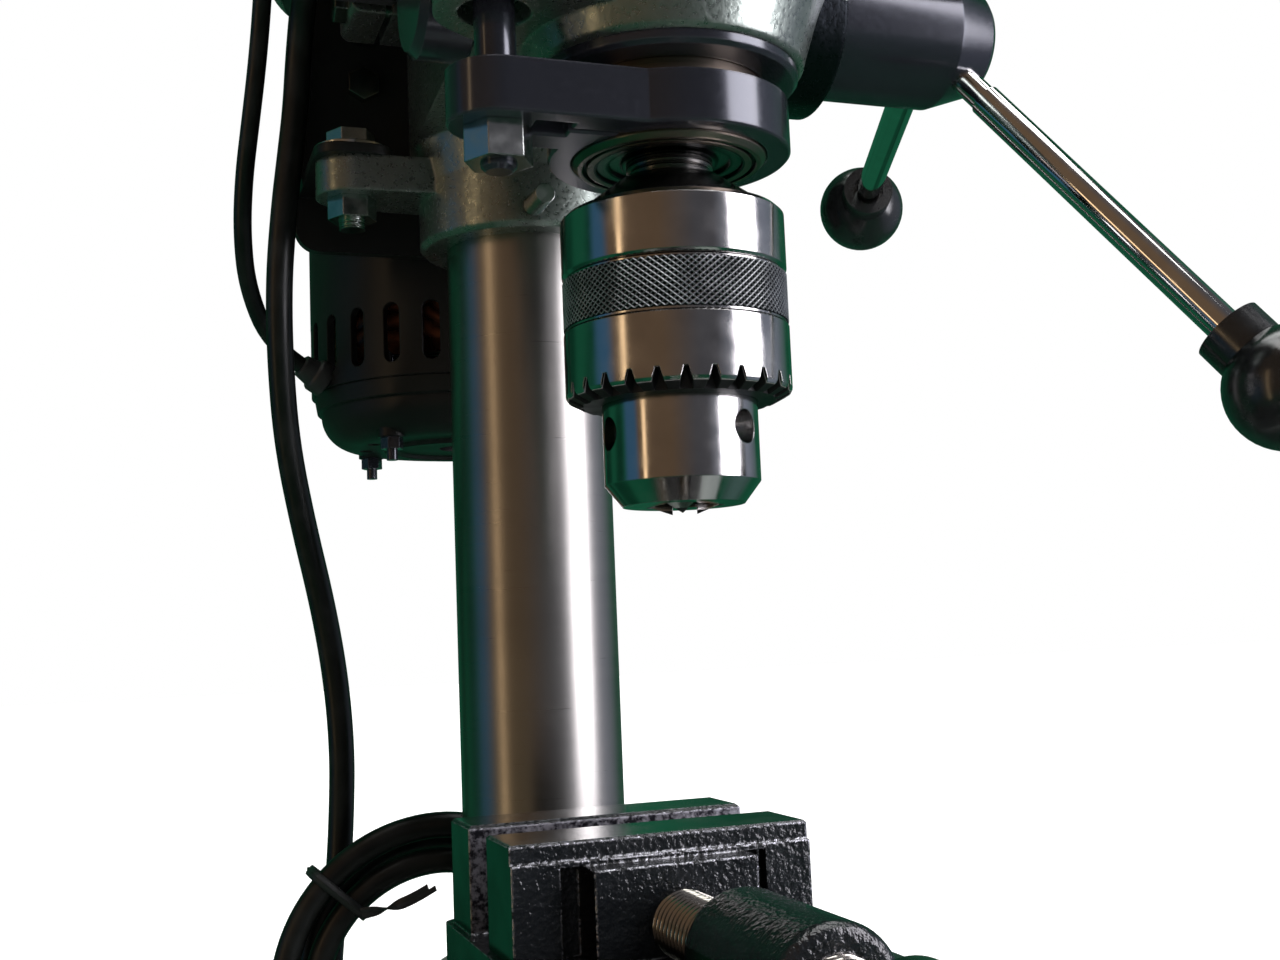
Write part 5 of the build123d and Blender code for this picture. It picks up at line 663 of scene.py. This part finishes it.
castFinish = aluminiumPaintSandCast()
tableFinish = milledTopCasting()
viseFinish = blackViseCasting()
blackFinish = stovedEnamel()
oxideFinish = blackOxide()
columnFinish = groundSteel("cylinderGroundColumnSteel", "#a9a6a2", "#918e8a", 0.27, 0.32, 0.8, "Z", 0.0006)
quillFinish = groundSteel("oiledQuillSteel", "#94877b", "#6f655d", 0.26, 0.40, 0.4, "Z", 0.002,
                          [(20.15, 0.55), (17.7, 0.3)])
spindleFinish = groundSteel("groundSpindleSteel", "#8f8d8b", "#716f6d", 0.2, 0.34, 0.4, "Z")
shaftFinish = groundSteel("groundPinionSteel", "#8f8d8b", "#716f6d", 0.2, 0.34, 0.4, "X")
springFinish = groundSteel("bluedSpringSteel", "#4a4c55", "#35363c", 0.2, 0.34, 0.5, "X")
bearingFinish = groundSteel("lappedBearingSteel", "#858583", "#5c5d5c", 0.16, 0.28, 0.3, "Z", 0.002,
                            [(17.3, 0.3), (14.6, 0.5), (11.4, 0.5)])
zincFinish = zincPlate("brightZincPlate")
bracketBoltFinish = zincPlate("zincBoltsWithRolledThread", [(300.0, 328.0, 1.25, "Z"), (357.5, 372.0, 1.25, "Z")])
setScrewFinish = zincPlate("zincSetScrews", [(20.0, 54.0, 1.0, "Y")])
chuckFinish = polishedToolSteel("polishedChuckSteel", 18.0, 226.0)
sleeveFinish = polishedToolSteel("polishedSleeveSteel", 26.2, 259.0)
chromeFinish = chromePlate()
phenolicFinish = compressionPhenolic()
pulleyFinish = turnedAluminium()
beltFinish = wrappedBelt()
windingFinish = windingCopper()
boxFinish = texturedAbs("sparkTexturedAbs", "#161718", 0.8, 0.06, 0.42)
greenFinish = texturedAbs("mouldedGreenAbs", "#1f8a45", 1.2, 0.01, 0.24)
redFinish = texturedAbs("mouldedRedAbs", "#b3241c", 1.2, 0.01, 0.24)

nodeFinishes = [
    (castFinish, "base column_flange head_casting belt_cover"), (tableFinish, "table"),
    (viseFinish, "vise_body vise_jaw"),
    (blackFinish, "motor_shell motor_upper_bell motor_lower_bell motor_bracket belt_guard"),
    (oxideFinish, "depth_collar feed_hub mouth_ring spring_cap vise_keeper table_lock_lever"),
    (oxideFinish, "motor_tie_bolts depth_rod"),
    (columnFinish, "column"), (quillFinish, "quill"), (spindleFinish, "spindle pulley_sleeve motor_rotor"),
    (shaftFinish, "pinion_shaft"), (springFinish, "return_spring"),
    (zincFinish, "flange_bolts vise_bolts depth_stop_screws depth_stop_nuts hinge_pins vise_handle"),
    (setScrewFinish, "head_lock_screws"), (bracketBoltFinish, "bracket_bolts"),
    (chuckFinish, "chuck_body chuck_jaw_a chuck_jaw_b chuck_jaw_c"), (sleeveFinish, "chuck_sleeve"),
    (bearingFinish, "quill_bearings pulley_bearings motor_bearings"), (chromeFinish, "feed_spokes"),
    (phenolicFinish, "feed_knobs table_lock_knob"), (pulleyFinish, "spindle_pulley motor_pulley"),
    (windingFinish, "motor_stator"), (beltFinish, "belt"), (boxFinish, "switch_box"),
    (greenFinish, "switch_on_button"), (redFinish, "switch_off_button")]
for finish, nodeNames in nodeFinishes:
    for nodeName in nodeNames.split():
        for place in cadNodes[nodeName].material_slots:
            place.material = finish
print("finishes set on", sum(len(nodeNames.split()) for finish, nodeNames in nodeFinishes), "nodes")

# knurled band of the chuck sleeve: one skin of small pyramids, cut straight at both edges
knurlSpec = {"axisY": -50.0, "lowMm": 268.6, "highMm": 279.7, "footRadius": 26.05, "tipRadius": 26.45, "around": 96,
             "rows": 16, "edgeMm": 0.25, "black": "#151518", "rubbed": "#c3c4ca", "rubMm": 5.0}


def knurlOxide(spec):  # black oxide rolled into diamonds: dark valleys, tips rubbed bright
    finish, place = startFinish("blackOxideDiamondKnurl")
    reach = fromAxis(finish, place, (0, spec["axisY"], 0), (1, 1, 0))
    tip = ramp(finish, reach, (spec["tipRadius"] - 0.20) * mm, (spec["tipRadius"] - 0.03) * mm)
    worn = sums(finish, "MULTIPLY", tip, noise(finish, place, spec["rubMm"], 4.0))
    return endFinish(finish, {"Metallic": 0.85, "Base Color": mix(finish, worn, spec["black"], spec["rubbed"]),
                              "Roughness": ramp(finish, tip, 0.0, 1.0, 0.34, 0.2)})


def buildKnurl(spec):
    build = bmesh.new()
    columns = 2 * spec["around"]

    def ring(up, radii):
        return [build.verts.new((radii[i % 2] * cos(2 * pi * i / columns) * mm,
                                 (radii[i % 2] * sin(2 * pi * i / columns) + spec["axisY"]) * mm, up * mm))
                for i in range(columns)]

    foot, tip = spec["footRadius"], spec["tipRadius"]
    grid = [ring(spec["lowMm"] - spec["edgeMm"], (foot - 0.2, foot - 0.2))]
    for row in range(spec["rows"] + 1):
        up = spec["lowMm"] + (spec["highMm"] - spec["lowMm"]) * row / spec["rows"]
        grid.append(ring(up, (tip, foot) if row % 2 == 0 else (foot, tip)))
    grid.append(ring(spec["highMm"] + spec["edgeMm"], (foot - 0.2, foot - 0.2)))
    for row, (low, high) in enumerate(zip(grid, grid[1:])):
        for i in range(columns):
            j = (i + 1) % columns
            if (row + i) % 2:  # each pyramid's ridges run from its tip to its neighbours' feet
                build.faces.new((low[i], low[j], high[j]))
                build.faces.new((low[i], high[j], high[i]))
            else:
                build.faces.new((low[i], low[j], high[i]))
                build.faces.new((low[j], high[j], high[i]))
    showPiece("knurlDiamonds", meshFrom("knurlDiamonds", build, 12), knurlOxide(spec), "chuck_sleeve")


buildKnurl(knurlSpec)

# vise screw: rolled thread, a turned head with a cross hole for the bar, and the tip in the jaw
viseScrewSpec = {"x": -15.7, "z": 139.0, "headY": -191.5, "headLength": 22.0, "headRadius": 11.0, "threadEndY": -77.9,
                 "crest": 7.0, "root": 5.95, "pitch": 2.0, "tipRadius": 5.0, "tipLength": 15.0, "barY": -180.5,
                 "barRadius": 4.05, "sides": 48, "ringsPerTurn": 8, "rootDark": "#2a261f", "steel": "#b3aea6",
                 "grimeMm": 2.5}


def threadDarkerInRoots(spec):  # bright rolled thread, darker towards its roots
    finish, place = startFinish("rolledScrewThread")
    reach = fromAxis(finish, place, (spec["x"], 0, spec["z"]), (1, 0, 1))
    crest = ramp(finish, reach, (spec["root"] + 0.15) * mm, (spec["crest"] - 0.25) * mm)
    lift = sums(finish, "MULTIPLY_ADD", noise(finish, place, spec["grimeMm"], 5.0), 0.5, -0.22)
    share = addNode(finish, "Math", {0: crest, 1: lift}, operation="ADD", use_clamp=True).outputs[0]
    return endFinish(finish, {"Metallic": 1.0, "Base Color": mix(finish, share, spec["rootDark"], spec["steel"]),
                              "Roughness": ramp(finish, share, 0.0, 1.0, 0.42, 0.2)})


def buildViseScrew(spec):
    foot = (spec["x"], spec["headY"], spec["z"])
    headEnd = spec["headLength"]
    build = bmesh.new()
    r = spec["headRadius"]
    addTurned(build, foot, (0, 1, 0), [(3.0, 0.6), (3.4, 0.0), (r - 1.6, 0.0), (r - 0.5, 0.5), (r, 1.5),
                                       (r, headEnd - 1.2), (r - 0.3, headEnd - 0.4), (r - 1.0, headEnd),
                                       (spec["root"] - 1.5, headEnd)])
    headMesh = meshFrom("viseScrewHead", build)
    head = bpy.data.objects.new("viseScrewHead", headMesh)
    bpy.context.scene.collection.objects.link(head)
    hole = bmesh.new()
    addTurned(hole, (spec["x"] - 2 * r, spec["barY"], spec["z"]), (1, 0, 0),
              [(spec["barRadius"], 0.0), (spec["barRadius"], 4 * r)], 48)
    cutter = bpy.data.objects.new("barHole", meshFrom("barHole", hole))
    bpy.context.scene.collection.objects.link(cutter)
    cut = head.modifiers.new("barHole", "BOOLEAN")
    cut.operation = "DIFFERENCE"
    cut.solver = "EXACT"
    cut.object = cutter
    bpy.context.view_layer.update()
    drilled = bpy.data.meshes.new_from_object(head.evaluated_get(bpy.context.evaluated_depsgraph_get()))
    bpy.data.objects.remove(head)
    bpy.data.objects.remove(cutter)

    build = bmesh.new()
    build.from_mesh(drilled)
    startY = spec["headY"] + headEnd - 1.0
    reach = spec["threadEndY"] - startY
    rings = ceil(reach / spec["pitch"] * spec["ringsPerTurn"])
    rows = []
    for k in range(rings + 1):
        y = startY + reach * k / rings
        row = []
        for i in range(spec["sides"]):
            angle = 2 * pi * i / spec["sides"]
            phase = (y / spec["pitch"] - i / spec["sides"]) % 1.0
            ridge = min(1.0, max(0.0, 1.6 - abs(phase - 0.5) * 4.4))
            fade = min(1.0, (spec["threadEndY"] - y) / 2.0)
            radius = spec["root"] + (spec["crest"] - spec["root"]) * ridge * fade
            row.append(build.verts.new(((spec["x"] + radius * cos(angle)) * mm, y * mm,
                                        (spec["z"] + radius * sin(angle)) * mm)))
        rows.append(row)
    for low, high in zip(rows, rows[1:]):
        for i in range(spec["sides"]):
            j = (i + 1) % spec["sides"]
            build.faces.new((low[i], high[i], high[j], low[j]))
    tip, tipEnd = spec["tipRadius"], spec["tipLength"]
    addTurned(build, (spec["x"], spec["threadEndY"] - 0.5, spec["z"]), (0, 1, 0),
              [(tip + 0.9, 0.0), (tip + 0.9, 0.4), (tip, 0.5), (tip, tipEnd - 0.6), (tip - 1.0, tipEnd)], 40)
    screw = showPiece("viseScrew", meshFrom("viseScrew", build, 40), threadDarkerInRoots(spec), "vise_screw")
    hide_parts("vise_screw")


buildViseScrew(viseScrewSpec)
print("knurl and vise screw made")

# studio: pale floor, a tall window of light on the right, a narrow warm one on the left, a broad one above
studioSpec = {"floor": "#f4f4f2", "floorSize": 12.0, "middle": (0.0, 0.0, 0.26),
              "window": {"from": (1.02, -0.80, 0.62), "wide": 0.75, "tall": 1.3, "watts": 26.0, "colour": "#fbf8ff"},
              "strip": {"from": (-1.15, -0.34, 0.30), "wide": 0.10, "tall": 1.2, "watts": 0.9, "colour": "#ffd9a8"},
              "top": {"from": (0.25, -0.1, 1.7), "wide": 1.2, "tall": 1.2, "watts": 20.0, "colour": "#ffffff"},
              "backdrop": "#ffffff", "cloth": "#1b5c42", "fold": "#103b2a", "foldScale": 3.0, "room": "#6f5b48",
              "dusk": "#55555a", "shade": "#3f6888", "wall": "#8c93a4", "fill": 0.62, "glow": 0.42, "farGlow": 0.9,
              "behind": (0.34, 0.94, 0.0), "beside": (0.94, -0.34, 0.0)}


def lightPanel(name, spec):
    data = bpy.data.lights.new(name, "AREA")
    data.shape = "RECTANGLE"
    data.size = spec["wide"]
    data.size_y = spec["tall"]
    data.energy = spec["watts"]
    data.color = linear(spec["colour"])[:3]
    panel = bpy.data.objects.new(name, data)
    panel.location = spec["from"]
    panel.rotation_euler = (Vector(studioSpec["middle"]) - panel.location).to_track_quat("-Z", "Y").to_euler()
    bpy.context.scene.collection.objects.link(panel)


def setStudio(spec):
    build = bmesh.new()
    half = spec["floorSize"] / 2
    build.faces.new([build.verts.new((x * half, y * half, 0)) for x, y in ((-1, -1), (1, -1), (1, 1), (-1, 1))])
    mesh = meshFrom("paleFloor", build)
    floor = bpy.data.objects.new("paleFloor", mesh)
    bpy.context.scene.collection.objects.link(floor)
    finish, place = startFinish("mattPaleFloor")
    glow = ramp(finish, vectorSums(finish, "LENGTH", place), 0.5, 1.6, spec["glow"], spec["farGlow"])
    mesh.materials.append(endFinish(finish, {"Base Color": spec["floor"], "Roughness": 0.85,
                                             "Emission Color": spec["floor"], "Emission Strength": glow}))
    floor.visible_glossy = False  # so that the undersides mirror the cloth
    for key in ("window", "strip", "top"):
        lightPanel(key + "Light", spec[key])
    world = bpy.data.worlds.new("studio")
    world.use_nodes = True
    bpy.context.scene.world = world
    seen = world.node_tree.nodes["Background"]
    feed(world, seen.inputs["Color"], spec["backdrop"])
    feed(world, seen.inputs["Strength"], 1.0)
    # metal mirrors a green cloth behind and below the drill and a dim room in front of it
    aim = addNode(world, "TexCoord").outputs["Generated"]
    behind = ramp(world, vectorSums(world, "DOT_PRODUCT", aim, spec["behind"]), -0.06, 0.08)
    below = ramp(world, split(world, aim)["Z"], -0.10, -0.45)
    rightward = vectorSums(world, "DOT_PRODUCT", aim, spec["beside"])
    room = mix(world, ramp(world, rightward, -0.25, 0.35), spec["room"], spec["dusk"])
    shaded = mix(world, ramp(world, rightward, -0.90, -0.94), room, spec["shade"])
    folds = addNode(world, "TexNoise", {"Vector": aim, "Scale": spec["foldScale"], "Detail": 1.0}).outputs["Fac"]
    cloth = mix(world, ramp(world, folds, 0.48, 0.62), spec["cloth"], spec["fold"])
    mirrored = mix(world, sums(world, "MAXIMUM", behind, below), shaded, cloth)
    walled = mix(world, ramp(world, rightward, 0.62, 0.92), mirrored, spec["wall"])
    around = addNode(world, "Background", {"Color": walled, "Strength": 1.0}).outputs[0]
    fill = addNode(world, "Background", {"Color": spec["backdrop"], "Strength": spec["fill"]}).outputs[0]
    path = addNode(world, "LightPath").outputs
    matt = addNode(world, "MixShader", {0: path["Is Diffuse Ray"], 1: around, 2: fill}).outputs[0]
    both = addNode(world, "MixShader", {0: path["Is Camera Ray"], 1: matt, 2: seen.outputs[0]}).outputs[0]
    feed(world, world.node_tree.nodes["World Output"].inputs["Surface"], both)
    bpy.context.scene.view_settings.view_transform = "Standard"


setStudio(studioSpec)
print("studio set")
